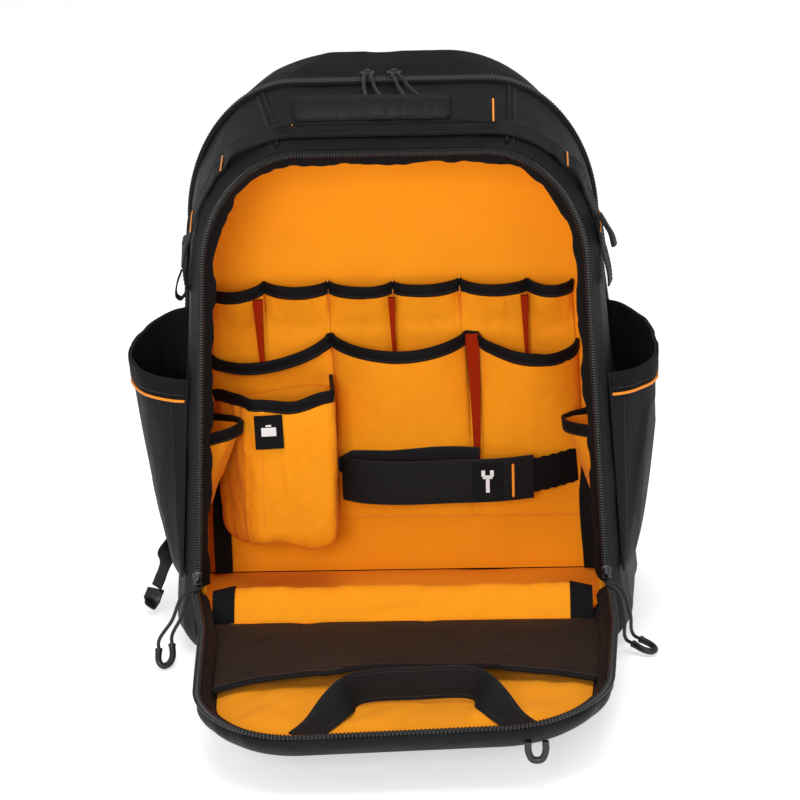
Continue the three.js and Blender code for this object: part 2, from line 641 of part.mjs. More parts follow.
// Pockets on both inner side walls
function innerPocketGrid(side, levels, wall) {
  return levels.map((z) => shares(7).map((share) => {
    const y = lerp(BODY.front + INNER_POCKET.frontGap, DIVIDER.front - INNER_POCKET.rearGap, share);
    const rise = clamp((z - INNER_POCKET.low) / (INNER_POCKET.top - INNER_POCKET.low), 0, 1);
    const slack = INNER_POCKET.depth * rise * slackAcross(share);
    return leaned(side * (innerSideAt(y, z) - CLEARANCE - wall - slack), y, z);
  }));
}
for (const [name, side] of [["left", -1], ["right", 1]]) {
  const levels = shares(5).map((share) => lerp(INNER_POCKET.low, INNER_POCKET.top, share));
  addPiece(`inner_pocket_${name}`,
    gridSolid(innerPocketGrid(side, levels, CLOTH), innerPocketGrid(side, levels, 0)), "orange_cloth");
}

// Outer side pockets, with a column of points at each bend of the body's outline
const outerRear = BODY.zip - REAR_ZIP.halfWidth - OUTER_POCKET.rearGap;
const columnsBetween = (from, to, steps) => shares(steps).slice(0, -1).map((share) => lerp(from, to, share));
const OUTER_COLUMNS = [
  ...columnsBetween(depthOf(1), depthOf(2), 2), ...columnsBetween(depthOf(2), depthOf(3), 3),
  ...columnsBetween(depthOf(3), outerRear, 3), outerRear,
];
const OUTER_GROWTH = 0.75;
function outerPocketGrid(side, depth, wall) {
  const [front, rear] = [OUTER_COLUMNS[0], OUTER_COLUMNS[OUTER_COLUMNS.length - 1]];
  return shares(6).map((rise) => OUTER_COLUMNS.map((y) => {
    const share = (y - front) / (rear - front);
    const rim = lerp(OUTER_POCKET.rimFront, OUTER_POCKET.rimRear, share ** OUTER_POCKET.rimCurve);
    const z = lerp(OUTER_POCKET.low, rim, rise);
    const slack = depth * rise ** OUTER_GROWTH * slackAcross(share);
    return leaned(side * (sideAt(y, z) + LOOSE_CLEARANCE + slack + wall), y, z);
  }));
}
for (const [name, side] of [["left", -1], ["right", 1]]) {
  const grid = (wall) => outerPocketGrid(side, OUTER_DEPTH[name], wall);
  addPiece(`outer_pocket_${name}`, gridSolid(grid(OUTER_POCKET.wall), grid(0)), "black_cloth");
}

// Flap outline: half width at a reach, with rounded far corners
const flapHalfWidth = (reach) => {
  const { shoulder, across, top, up } = outlineAt(BODY.front);
  const height = lerp(OPENING_FOOT, top, clamp(reach / FLAP.reach, 0, 1));
  const straight = FLAP.reach - FLAP.cornerReach;
  if (reach <= straight) return sideAt(BODY.front, Math.min(height, top - up));
  const rise = clamp((reach - straight) / FLAP.cornerReach, 0, 1);
  return shoulder - across + across * Math.sqrt(1 - rise * rise);
};

// Outline path of the flap from its left hinge point round the far end to its right, as [x, reach] pairs
function flapOutline(inset) {
  const { shoulder, across } = outlineAt(BODY.front);
  const straight = FLAP.reach - FLAP.cornerReach;
  const side = shares(4).slice(0, -1).map((share) => {
    const reach = lerp(FLAP.start, straight, share);
    return [flapHalfWidth(reach) - inset, reach];
  });
  const corner = shares(6).map((share) => {
    const angle = (Math.PI / 2) * share;
    return [
      shoulder - across + (across - inset) * Math.cos(angle),
      straight + (FLAP.cornerReach - inset) * Math.sin(angle),
    ];
  });
  const half = [...side, ...corner, [(shoulder - across) / 2, FLAP.reach - inset]];
  const mirrored = half.map(([x, reach]) => [-x, reach]);
  return [...mirrored, [0, FLAP.reach - inset], ...half.reverse()];
}
const liningAt = (reach) => tableValue(FLAP_HEIGHTS, "reach", reach / FLAP.reach, "lining");
const rimAt = (reach) => tableValue(FLAP_HEIGHTS, "reach", reach / FLAP.reach, "rim");
const flapPoint = (x, reach, z) => [x, BODY.front - reach, z];

// Rows of points that shrink the flap's floor towards the middle of its hinge
function flapFloorRows(inset, start, drop, rowShares) {
  const path = flapOutline(inset);
  return rowShares.map((share) => path.map(([x, reach]) => {
    const along = Math.max(lerp(start, reach, share), start);
    return flapPoint(x * share, along, liningAt(along) - drop);
  }));
}
const FLOOR_SHARES = [1, 0.83, 0.56, 0.28, 0];

// Flap shell: a tray with a leaning rim
const floorTop = LINING_WALL + CLEARANCE;
const trayRows = (rimInset, floorInset, drop) => [
  flapOutline(rimInset).map(([x, reach]) => flapPoint(x, reach, rimAt(reach))),
  ...flapFloorRows(floorInset, FLAP.start, drop, FLOOR_SHARES),
];
addPiece("flap_shell", gridSolid(
  trayRows(0, FLAP.floorInset - 4, floorTop + FLAP.wall),
  trayRows(FLAP.rimWall, FLAP.floorInset, floorTop),
), "black_cloth");

// Flap lining, from the sill roll to the rim's foot
const liningStart = FLAP.start + 1;
addPiece("flap_lining", gridSolid(
  flapFloorRows(FLAP.floorInset + CLEARANCE, liningStart, 0, FLOOR_SHARES),
  flapFloorRows(FLAP.floorInset + CLEARANCE, liningStart, LINING_WALL, FLOOR_SHARES),
), "orange_cloth");

// Zip coil on the flap's rim
const coilRow = ([inset, lift]) => flapOutline(inset - COIL.overhang)
  .map(([x, reach]) => flapPoint(x, reach, rimAt(reach) + lift));
const coilRows = [
  [0, CLEARANCE], [COIL.flapWidth, CLEARANCE], [COIL.flapWidth, COIL.height], [0, COIL.height],
].map(coilRow);
const coilRings = coilRows[0].map((_, i) => coilRows.map((row) => row[i]));
addPiece("flap_zip_coil", loftSolid(coilRings), "black_plastic");

// Mesh pocket over the flap's near half
const meshHalf = (reach) => flapHalfWidth(reach) - FLAP.floorInset - MESH_POCKET.sideGap;
const meshPoint = (share, reach, lift) => {
  const x = meshHalf(reach) * (2 * share - 1);
  const along = (reach - MESH_POCKET.start) / (MESH_POCKET.end - MESH_POCKET.start);
  const slack = MESH_POCKET.slack * along * Math.sin(Math.PI * share);
  const rise = MESH_POCKET.rise * Math.min(along * 4, 1);
  return flapPoint(x, reach, liningAt(reach) + LOOSE_CLEARANCE + rise + slack + lift);
};
const meshReaches = shares(5).map((share) => lerp(MESH_POCKET.start, MESH_POCKET.end, share));
const meshGrid = (lift) => meshReaches.map((reach) =>
  shares(8).map((share) => meshPoint(share, reach, lift)));
addPiece("mesh_pocket", gridSolid(meshGrid(MESH_POCKET.wall), meshGrid(0)), "black_mesh");

// Outer pocket under the flap, an open tray that the flap rests on
const POUCH_CORNERS = [
  [-1, FLAP_POUCH.end], [1, FLAP_POUCH.end], [1, FLAP_POUCH.start], [-1, FLAP_POUCH.start],
].map(([side, reach]) => [side * FLAP_POUCH.halfWidth, BODY.front - reach]);
const underside = (y) => liningAt(BODY.front - y) - floorTop - FLAP.wall - LOOSE_CLEARANCE;
function pouchRings(inset) {
  const plan = (distance) =>
    roundedOutline(insetCorners(POUCH_CORNERS, distance), FLAP_POUCH.cornerRadius, 3);
  const outline = plan(inset);
  const tucked = plan(inset + FLAP_POUCH.tuck);
  return [
    outline.map(([x, y]) => [x, y, underside(y)]),
    outline.map(([x, y]) => [x, y, FLAP_POUCH.edge + inset]),
    tucked.map(([x, y]) => [x, y, inset]),
  ];
}
const pouchPole = (inset) => [0, BODY.front - (FLAP_POUCH.start + FLAP_POUCH.end) / 2, inset];
addPiece("flap_pouch", cupSolid(
  pouchRings(0), pouchRings(FLAP_POUCH.wall), pouchPole(0), pouchPole(FLAP_POUCH.wall),
), "black_cloth");

// Webbing handle lying on the flap
const strapZ = (reach) => liningAt(reach) + CLEARANCE + WEBBING / 2;
// Stations of the handle: x of its middle line, its distance from the flap's far edge, its lift over
// the lining and its tilt from flat to on edge
const FLAP_HANDLE = [
  { x: -60, edge: 26, lift: 0.1, tilt: 0 },
  { x: -52, edge: 37, lift: 2, tilt: 0.1 },
  { x: -41, edge: 54, lift: 10, tilt: 0.5 },
  { x: -27, edge: 68, lift: 13.5, tilt: 0.95 },
  { x: 15, edge: 72, lift: 14, tilt: 1 },
  { x: 55, edge: 70, lift: 13.5, tilt: 0.95 },
  { x: 66, edge: 57, lift: 10, tilt: 0.5 },
  { x: 77, edge: 40, lift: 2, tilt: 0.1 },
  { x: 85, edge: 28, lift: 0.1, tilt: 0 },
].map(({ edge, ...station }) => ({ ...station, reach: FLAP.reach - edge }));
const handleGrid = FLAP_HANDLE.map(({ x, reach, lift, tilt }, i) => {
  const middle = vector(flapPoint(x, reach, strapZ(reach) + lift));
  const before = FLAP_HANDLE[Math.max(i - 1, 0)];
  const after = FLAP_HANDLE[Math.min(i + 1, FLAP_HANDLE.length - 1)];
  const along = new THREE.Vector3(after.x - before.x, before.reach - after.reach, 0).normalize();
  const lying = new THREE.Vector3(-along.y, along.x, 0);
  const wide = lying.multiplyScalar(1 - tilt).addScaledVector(ACROSS_Z, tilt).normalize();
  return [-1, 1].map((edge) => middle.clone().addScaledVector(wide, (edge * WEBBING_WIDTH) / 2).toArray());
});
addPiece("flap_handle", sheetSolid(handleGrid, WEBBING), "black_webbing");

// Height of the body's top at a place in Y, where the front leans back
function crownAt(y) {
  const station = range(6).reduce((place) => y - leaned(0, place, outlineAt(place).top)[1] + place, y);
  return outlineAt(station).top;
}

// Webbing over the body's shoulders, under the top handle
const loopEdges = [BODY.front + LOOP_WEBBING.front, BODY.front + LOOP_WEBBING.rear];
addPiece("shoulder_webbing", archSolid([
  ...loopEdges.map((y) => [y, -LOOSE_CLEARANCE]),
  ...loopEdges.map((y) => [y, -LOOSE_CLEARANCE - WEBBING]).reverse(),
], LOOP_WEBBING.foot), "black_webbing");

// Top handle: webbing on each side of a wrapped grip, seated on the shoulder webbing
const webbingSeat = (y) => crownAt(y) + LOOSE_CLEARANCE + WEBBING + CLEARANCE;
const bendAt = (x, y) => {
  const { shoulder, across, up } = outlineAt(y);
  return up * (1 - Math.sqrt(1 - clamp((x - (shoulder - across)) / across, 0, 1) ** 2));
};
const gripZ = webbingSeat(HANDLE.y) + HANDLE.width / 2 + HANDLE.lift;
const LEANING = new THREE.Vector3(0, 0.35, 1).normalize();
const gripPath = smoothPath([
  [HANDLE.left, HANDLE.y, gripZ], [(HANDLE.left + HANDLE.right) / 2, HANDLE.y - 2, gripZ + 1],
  [HANDLE.right, HANDLE.y, gripZ],
], 8);
addPiece("handle_grip",
  sweepSolid(gripPath, LEANING, lensSection(HANDLE.width, HANDLE.thickness, 10)), "grey_leather");
const HANDLE_ENDS = [["left", HANDLE.left, -HANDLE.tackLeft], ["right", HANDLE.right, HANDLE.tackRight]];
for (const [name, gripEnd, tackEnd] of HANDLE_ENDS) {
  const out = Math.sign(tackEnd);
  const grid = shares(6).map((share) => {
    const rise = (1 - share) ** 1.5;
    const lowZ = webbingSeat(HANDLE.y) + WEBBING / 2 - bendAt(Math.abs(tackEnd), HANDLE.y);
    const middle = new THREE.Vector3(lerp(gripEnd + out, tackEnd, share), HANDLE.y, lerp(lowZ, gripZ, rise));
    const wide = new THREE.Vector3(0, 1, 0.2).lerp(LEANING, rise * 0.9).normalize();
    return [-1, 1].map((edge) => middle.clone().addScaledVector(wide, edge * HANDLE.webbing / 2).toArray());
  });
  addPiece(`handle_webbing_${name}`, sheetSolid(grid, WEBBING), "black_webbing");
}

// Back pad
const padOutline = (off, inset) => archPath(BODY.back, inset, BACK_PAD.low + inset)
  .map(([x, , z]) => [x, BODY.back + off, z]);
addPiece("back_pad", loftSolid([
  padOutline(CLEARANCE, BACK_PAD.inset), padOutline(BACK_PAD.straightWall, BACK_PAD.inset),
  padOutline(BACK_PAD.wall, BACK_PAD.crownInset),
]), "black_foam");

// Shoulder straps, their lower webbing and buckles
const PAD_FACE = BODY.back + BACK_PAD.wall + CLEARANCE;
// Stations down a strap: shares across and up the body, and distance off the pad's face
const SHOULDER_PATH = [
  { across: 0.255, off: 0.2, up: 0.872 }, { across: 0.287, off: 12, up: 0.809 },
  { across: 0.372, off: 22, up: 0.674 }, { across: 0.468, off: 24, up: 0.517 },
  { across: 0.521, off: 17, up: 0.371 }, { across: 0.537, off: 5, up: 0.252 },
];
const LOWER_WEBBING = [
  { across: 0.543, off: 4, up: 0.227 }, { across: 0.596, off: 3, up: 0.198 },
  { across: 0.713, off: 2, up: 0.157 }, { across: 0.809, off: 1, up: 0.126 },
];
for (const [name, side] of [["left", -1], ["right", 1]]) {
  const placed = (thickness) => ({ across, off, up }) =>
    [side * acrossBody(across), PAD_FACE + thickness / 2 + off, upBody(up)];
  addPiece(`shoulder_strap_${name}`, sweepSolid(
    smoothPath(SHOULDER_PATH.map(placed(SHOULDER.thickness)), 12), ACROSS_X,
    lensSection(SHOULDER.width, SHOULDER.thickness, 8)), "black_foam");
  addPiece(`strap_webbing_${name}`, sweepSolid(
    smoothPath(LOWER_WEBBING.map(placed(WEBBING)), 8), ACROSS_X,
    flatSection(WEBBING_WIDTH, WEBBING)), "black_webbing");
}

// Loose end of the left lower strap, beside the body. out is its distance from the body's side,
// behind a distance from the rear zip, and height over the floor.
const TAIL_LEAN = new THREE.Vector3(0, 0.75, 0.65);
const TAIL = [
  { out: 6.7, behind: 34, height: 58 }, { out: 6.5, behind: 10, height: 52 },
  { out: 10, behind: -14, height: 42 }, { out: 15.5, behind: -21, height: 26 },
  { out: 18.6, behind: -23, height: 19 },
];
const TAIL_TIP = [
  { out: 19.2, behind: -24, height: 17.5 }, { out: 22.6, behind: -31, height: 11 },
  { out: 24.5, behind: -38, height: 6.5 },
];
const besideBody = ({ out, behind, height }) => {
  const y = BODY.zip + behind;
  return [-sideAt(y, height) - out, y, height];
};
addPiece("strap_tail", sweepSolid(smoothPath(TAIL.map(besideBody), 10), TAIL_LEAN,
  flatSection(WEBBING_WIDTH * 0.75, WEBBING)), "black_webbing");
addPiece("strap_tip", sweepSolid(smoothPath(TAIL_TIP.map(besideBody), 4), TAIL_LEAN,
  flatSection(WEBBING_WIDTH * 0.6, WEBBING * 2)), "black_plastic");

// Sliders of the zips
function addSlider(name, centre, size) {
  const corner = (sign) => centre.map((value, i) => value + (sign * size[i]) / 2);
  addPiece(name, boxSolid(corner(-1), corner(1)), "zip_metal");
}
const coilFront = coilBack - COIL.height - CLEARANCE;
const frontSliderX = sideAt(BODY.front, OPENING_FOOT) - COIL.width / 2;
const frontSliderZ = OPENING_FOOT + SLIDER.length / 2 + SLIDER.lift;
const frontSliderY = coilFront + FRONT_LEAN * OPENING_FOOT - SLIDER.thickness / 2;
const rearZipRise = REAR_ZIP.wall + CLEARANCE + 1;
const rearZipTop = outlineAt(BODY.zip).top + rearZipRise;
const rearSliderZ = rearZipTop + LOOSE_CLEARANCE + (SLIDER.thickness + SLIDER.lift) / 2;
for (const [name, side] of [["left", -1], ["right", 1]]) {
  addSlider(`front_slider_${name}`, [side * frontSliderX, frontSliderY, frontSliderZ],
    [SLIDER.width, SLIDER.thickness, SLIDER.length]);
}
for (const [name, x] of Object.entries(REAR_SLIDERS)) {
  addSlider(`rear_slider_${name}`, [x, BODY.zip, rearSliderZ],
    [SLIDER.length, SLIDER.width, SLIDER.thickness]);
}

// Pulls: a cord looped through the slider, whose ends sit in the legs of a moulded bow.
// Each path runs from the slider over a bend and a knee to the bow's legs and its tip. out and ahead
// are distances from the slider, and side is the direction in which the two legs stand apart.
const REST_HEIGHT = PULL.endRadius + CLEARANCE * 2;
const FRONT_PULLS = [
  { name: "front_pull_left", slider: -1, side: [0.75, 0.55, 0.1], path: [
    { out: 1, ahead: 1.5, rise: 0.969 }, { out: 9, ahead: 5.5, rise: 0.922 },
    { out: 17, ahead: 9.5, rise: 0.602 }, { out: 27, ahead: 6.5, rise: 0.291 },
    { out: 26, ahead: 17.5, rise: 0 },
  ] },
  { name: "front_pull_right", slider: 1, side: [0.5, 0.8, 0], path: [
    { out: 1, ahead: 1.5, rise: 0.969 }, { out: 9, ahead: 5.5, rise: 0.922 },
    { out: 16, ahead: 2.5, rise: 0.533 }, { out: 19, ahead: -13.5, rise: 0.1 },
    { out: 36, ahead: 0.5, rise: 0 },
  ] },
];
const REAR_PULLS = [
  { name: "rear_pull_left", slider: "left", side: [1, 0, 0], path: [
    { out: 0, ahead: 6.2, lift: 8.1 }, { out: 0, ahead: 14, lift: 7.6 }, { out: 1, ahead: 27, lift: 5 },
    { out: 5, ahead: 52, lift: 4.2 }, { out: 8, ahead: 73, lift: 3.6 },
  ] },
  { name: "rear_pull_right", slider: "right", side: [0.9, 0.35, 0], path: [
    { out: 0, ahead: 6.2, lift: 8.1 }, { out: 3, ahead: 14, lift: 7.6 }, { out: 7, ahead: 28, lift: 5 },
    { out: 14, ahead: 50, lift: 4.2 }, { out: 20, ahead: 71, lift: 3.6 },
  ] },
];
const sliderFoot = frontSliderZ - SLIDER.length / 2;
const frontPath = ({ slider, path }) => path.map(({ out, ahead, rise }) => [
  slider * (frontSliderX + out), frontSliderY - ahead, lerp(REST_HEIGHT, sliderFoot, rise),
]);
const rearPath = ({ slider, path }) => path.map(({ out, ahead, lift }) => [
  REAR_SLIDERS[slider] + out, BODY.zip - ahead, crownAt(BODY.zip - ahead) + lift,
]);
function addPull(name, side, [top, over, knee, legs, tip]) {
  const apart = vector(side).normalize();
  const offset = (point, share) => vector(point).addScaledVector(apart, share * PULL.halfSpread).toArray();
  const between = (share) => legs.map((value, i) => lerp(value, tip[i], share));
  const seatGap = CLEARANCE / vector(tip).distanceTo(vector(legs));
  const [seat, socket, bend] = [PULL.socket - seatGap, PULL.socket, PULL.bend].map(between);
  const upright = new THREE.Vector3().crossVectors(apart, vector(tip).sub(vector(top))).normalize();
  const loop = [[seat, 1], [legs, 1], [knee, 0.7], [over, 0.5], [top, 0.27]];
  const bow = [[socket, 1], [bend, 1], [tip, 0.45]];
  const doubled = (rows) => [...rows, ...rows.map(([point, share]) => [point, -share]).reverse()]
    .map(([point, share]) => offset(point, share));
  addPiece(`${name}_cord`, cordSolid(doubled(loop), PULL.cordRadius, 24, upright), "black_cord");
  addPiece(`${name}_end`, cordSolid(doubled(bow), PULL.endRadius, 10, upright), "black_plastic");
}
FRONT_PULLS.forEach((pull) => addPull(pull.name, pull.side, frontPath(pull)));
REAR_PULLS.forEach((pull) => addPull(pull.name, pull.side, rearPath(pull)));

// Pull of the outer pocket's zip, hanging at the flap's far edge. out is the distance from that edge.
const FLAP_PULL = { across: 0.537, top: 37, tip: 24.5 };
const pullX = acrossBody(FLAP_PULL.across);
const farCorner = outlineAt(BODY.front);
const cornerShare = (pullX - farCorner.shoulder + farCorner.across) / farCorner.across;
const pullEdge = FLAP.cornerReach * (1 - Math.sqrt(1 - cornerShare ** 2)) - FLAP.reach + BODY.front;
const PULL_STATIONS = [
  { spread: 1, out: 2.2, height: FLAP_PULL.top }, { spread: 1, out: 0.7, height: FLAP_PULL.tip + 6 },
  { spread: 0.5, out: 0.2, height: FLAP_PULL.tip },
];
const pullSide = (side) => PULL_STATIONS.map(({ spread, out, height }) =>
  [pullX + side * spread * PULL.halfSpread, pullEdge + out, height]);
addPiece("flap_pull_end",
  cordSolid([...pullSide(-1), ...pullSide(1).reverse()], PULL.endRadius, 12, ACROSS_Y), "black_plastic");

export default bag;
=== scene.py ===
"""Dressed model of a tool backpack that stands open on the floor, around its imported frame.

Shapes are worked out in millimetres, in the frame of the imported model, and go into the meshes in
metres. X runs to the right, Y to the rear and Z up.
"""

import json
import logging
import math
from dataclasses import dataclass, field
from enum import Enum
from typing import Sequence

import bpy
import numpy as np
from mathutils import Matrix, Vector

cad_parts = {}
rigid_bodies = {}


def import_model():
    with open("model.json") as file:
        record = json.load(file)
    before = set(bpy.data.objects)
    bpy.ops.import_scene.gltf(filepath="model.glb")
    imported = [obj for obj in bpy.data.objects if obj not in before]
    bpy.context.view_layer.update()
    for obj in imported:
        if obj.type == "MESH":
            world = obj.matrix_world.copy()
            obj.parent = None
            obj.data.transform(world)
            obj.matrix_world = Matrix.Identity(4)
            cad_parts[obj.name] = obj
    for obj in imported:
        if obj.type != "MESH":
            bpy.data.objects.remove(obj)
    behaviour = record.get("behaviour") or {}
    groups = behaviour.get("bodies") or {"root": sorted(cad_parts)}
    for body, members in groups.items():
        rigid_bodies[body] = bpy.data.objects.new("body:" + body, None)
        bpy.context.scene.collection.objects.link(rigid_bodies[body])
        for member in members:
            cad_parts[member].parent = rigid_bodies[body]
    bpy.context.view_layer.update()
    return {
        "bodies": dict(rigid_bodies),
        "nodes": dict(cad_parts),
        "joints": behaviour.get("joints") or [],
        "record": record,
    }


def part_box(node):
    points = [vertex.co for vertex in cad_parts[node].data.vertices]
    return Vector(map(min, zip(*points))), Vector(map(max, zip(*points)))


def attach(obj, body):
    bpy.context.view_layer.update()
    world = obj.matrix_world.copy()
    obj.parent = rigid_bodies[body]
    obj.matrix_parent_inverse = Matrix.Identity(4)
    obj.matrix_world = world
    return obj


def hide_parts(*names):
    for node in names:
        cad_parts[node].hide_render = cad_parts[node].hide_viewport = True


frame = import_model()

LOG = logging.getLogger("tool_backpack")
MM = 0.001
TAU = 2 * math.pi
Grid = np.ndarray


# Curves and surfaces


def mix(a, b, share):
    """Value between a and b at a share of the way."""
    return a + (b - a) * share


def unit(vectors: Grid) -> Grid:
    """Vectors scaled to length one along the last axis."""
    return vectors / np.maximum(np.linalg.norm(vectors, axis=-1, keepdims=True), 1e-9)


def curve_table(places: Sequence[float], values: Sequence[float], at: Grid, level: bool = True) -> Grid:
    """Smooth curve through the rows of a table.

    Each span is a cubic from its two values and the mean slopes of their neighbours. A level curve
    has no slope where the values turn.

    Args:
        places: Rising places of the rows.
        values: Values of the rows.
        at: Places to read.
        level: Whether turning points are flat.

    Returns:
        The values at the places.
    """
    x = np.asarray(places, float)
    y = np.asarray(values, float)
    secant = np.diff(y) / np.diff(x)
    slope = np.concatenate([secant[:1], (secant[:-1] + secant[1:]) / 2, secant[-1:]])
    if level:
        slope[1:-1][secant[:-1] * secant[1:] <= 0] = 0
    at = np.clip(at, x[0], x[-1])
    i = np.clip(np.searchsorted(x, at, side="right") - 1, 0, len(x) - 2)
    span = x[i + 1] - x[i]
    t = (at - x[i]) / span
    start = (2 * t**3 - 3 * t**2 + 1) * y[i] + (t**3 - 2 * t**2 + t) * span * slope[i]
    end = (3 * t**2 - 2 * t**3) * y[i + 1] + (t**3 - t**2) * span * slope[i + 1]
    return start + end


def lengths(path: Grid) -> Grid:
    """Distance along a path at each of its points."""
    steps = np.linalg.norm(np.diff(path, axis=0), axis=1)
    return np.concatenate([[0.0], np.cumsum(steps)])


def even(path: Grid, count: int) -> Grid:
    """The path again with evenly spaced points, by its length."""
    along = lengths(path)
    at = np.linspace(0, along[-1], count)
    return np.stack([np.interp(at, along, path[:, k]) for k in range(path.shape[1])], axis=1)


def spline(points: Sequence[Sequence[float]], count: int) -> Grid:
    """Smooth path through points, with cubic spans over their chord lengths and even steps.

    Args:
        points: Points in millimetres.
        count: Number of points of the path.

    Returns:
        The path, one row a point.
    """
    points = np.asarray(points, float)
    along = lengths(points)
    at = np.linspace(0, along[-1], count * 6)
    columns = [curve_table(along, points[:, k], at, level=False) for k in range(points.shape[1])]
    return even(np.stack(columns, axis=1), count)


def tangents(path: Grid) -> Grid:
    """Unit directions along a path."""
    return unit(np.gradient(path, axis=0))


def normals(grid: Grid, wrapped: bool = False) -> Grid:
    """Unit normals of a grid, the cross product of its two directions.

    Args:
        grid: Points, rows by columns.
        wrapped: Whether the last column meets the first.

    Returns:
        One normal for each point.
    """
    down = np.gradient(grid, axis=0)
    if wrapped:
        across = np.roll(grid, -1, axis=1) - np.roll(grid, 1, axis=1)
    else:
        across = np.gradient(grid, axis=1)
    return unit(np.cross(across, down))


def pushed(rings: Grid, amount) -> Grid:
    """Rings of the bag moved outward by an amount at each point; their own normals look inward."""
    amount = np.broadcast_to(amount, rings.shape[:2])
    return rings - normals(rings, True) * amount[..., None]


@dataclass(frozen=True)
class Folds:
    """Soft folds of cloth: a sum of sine waves in random directions, bent towards sharp creases."""

    seed: int
    length: float
    height: float
    across: float = 1.0
    along: float = 1.0
    crease: float = 0.3
    count: int = 11

    def at(self, u: Grid, v: Grid) -> Grid:
        """Heights at places on the cloth.

        Args:
            u: Distance across the cloth.
            v: Distance along the cloth.

        Returns:
            Heights between minus and plus the fold height.
        """
        rng = np.random.default_rng(self.seed)
        angle = rng.uniform(0, TAU, self.count)
        pitch = self.length * rng.uniform(0.6, 1.9, self.count)
        phase = rng.uniform(0, TAU, self.count)
        total = 0.0
        for i in range(self.count):
            place = u * math.cos(angle[i]) / self.across + v * math.sin(angle[i]) / self.along
            total = total + np.sin(TAU * place / pitch[i] + phase[i])
        soft = np.tanh(total / math.sqrt(self.count / 2))
        return self.height * mix(soft, 1 - 2 * np.abs(soft), self.crease)


def fullness(share: Grid) -> Grid:
    """Slack across a pocket: a sine from seam to seam, flattened by a power."""
    return np.sin(math.pi * np.clip(share, 0, 1)) ** 0.6


def shares(count: int) -> Grid:
    """Even shares from nought to one."""
    return np.linspace(0, 1, count)


def points_at(x, y, z) -> Grid:
    """Points of three coordinates that are broadcast together."""
    return np.stack(np.broadcast_arrays(x, y, z), -1)


def bump_at(place: Grid, centre: float, width: float) -> Grid:
    """Bell curve of height one around a centre."""
    return np.exp(-(((place - centre) / width) ** 2))


def rounded_section(width: float, thickness: float, sides: int, power: float = 5.0) -> Grid:
    """Closed section of a strap or cord, a rounded oblong: both axes of an ellipse, squared off by a power.

    Args:
        width: Size across.
        thickness: Size outward.
        sides: Points round the section.
        power: 2 is an ellipse, more is squarer.

    Returns:
        Pairs of across and outward places.
    """
    angle = np.arange(sides) * TAU / sides
    wave = np.stack([np.cos(angle), np.sin(angle)], axis=1)
    squared = np.sign(wave) * np.abs(wave) ** (2 / power)
    return squared * np.array([width / 2, thickness / 2])


def swept(path: Grid, across, section: Grid, swell: Grid | None = None) -> Grid:
    """Rings of a section carried along a path.

    Each ring is the path's point, plus its first value times the width's direction, plus its second
    times the direction square to the path and the width.

    Args:
        path: Points of the middle line.
        across: Direction of the width, one for all or one a point.
        section: Pairs of across and outward places.
        swell: Factor for the section at each point, one or two columns.

    Returns:
        The rings, path by section.
    """
    along = tangents(path)
    wide = np.broadcast_to(np.asarray(across, float), path.shape)
    wide = unit(wide - along * np.sum(wide * along, axis=1, keepdims=True))
    out = np.cross(along, wide)
    size = np.ones((len(path), 2)) if swell is None else np.broadcast_to(swell, (len(path), 2))
    first = section[None, :, 0, None] * size[:, 0, None, None] * wide[:, None]
    second = section[None, :, 1, None] * size[:, 1, None, None] * out[:, None]
    return path[:, None] + first + second


# Finishes


class Socket:
    """Output of a node that takes part in sums, products and comparisons."""

    def __init__(self, shader: "Shader", link: bpy.types.NodeSocket) -> None:
        """Keeps the shader and the link."""
        self.shader = shader
        self.link = link

    def _math(self, operation: str, *values) -> "Socket":
        """Math node of this socket and other values."""
        inputs = dict(enumerate((self, *values)))
        return self.shader.node("ShaderNodeMath", {"operation": operation}, inputs)

    def __add__(self, other) -> "Socket":
        """Sum."""
        return self._math("ADD", other)

    __radd__ = __add__

    def __mul__(self, other) -> "Socket":
        """Product."""
        return self._math("MULTIPLY", other)

    __rmul__ = __mul__

    def __sub__(self, other) -> "Socket":
        """Difference."""
        return self._math("SUBTRACT", other)

    def __rsub__(self, other) -> "Socket":
        """Difference from a number."""
        return (self * -1.0) + other

    def __gt__(self, other) -> "Socket":
        """One where this is greater."""
        return self._math("GREATER_THAN", other)

    def __pow__(self, other) -> "Socket":
        """Power."""
        return self._math("POWER", other)

    def __abs__(self) -> "Socket":
        """Size without its sign."""
        return self._math("ABSOLUTE")

    def sin(self) -> "Socket":
        """Sine."""
        return self._math("SINE")

    def clamped(self) -> "Socket":
        """Value kept between nought and one."""
        return self._math("MAXIMUM", 0.0)._math("MINIMUM", 1.0)


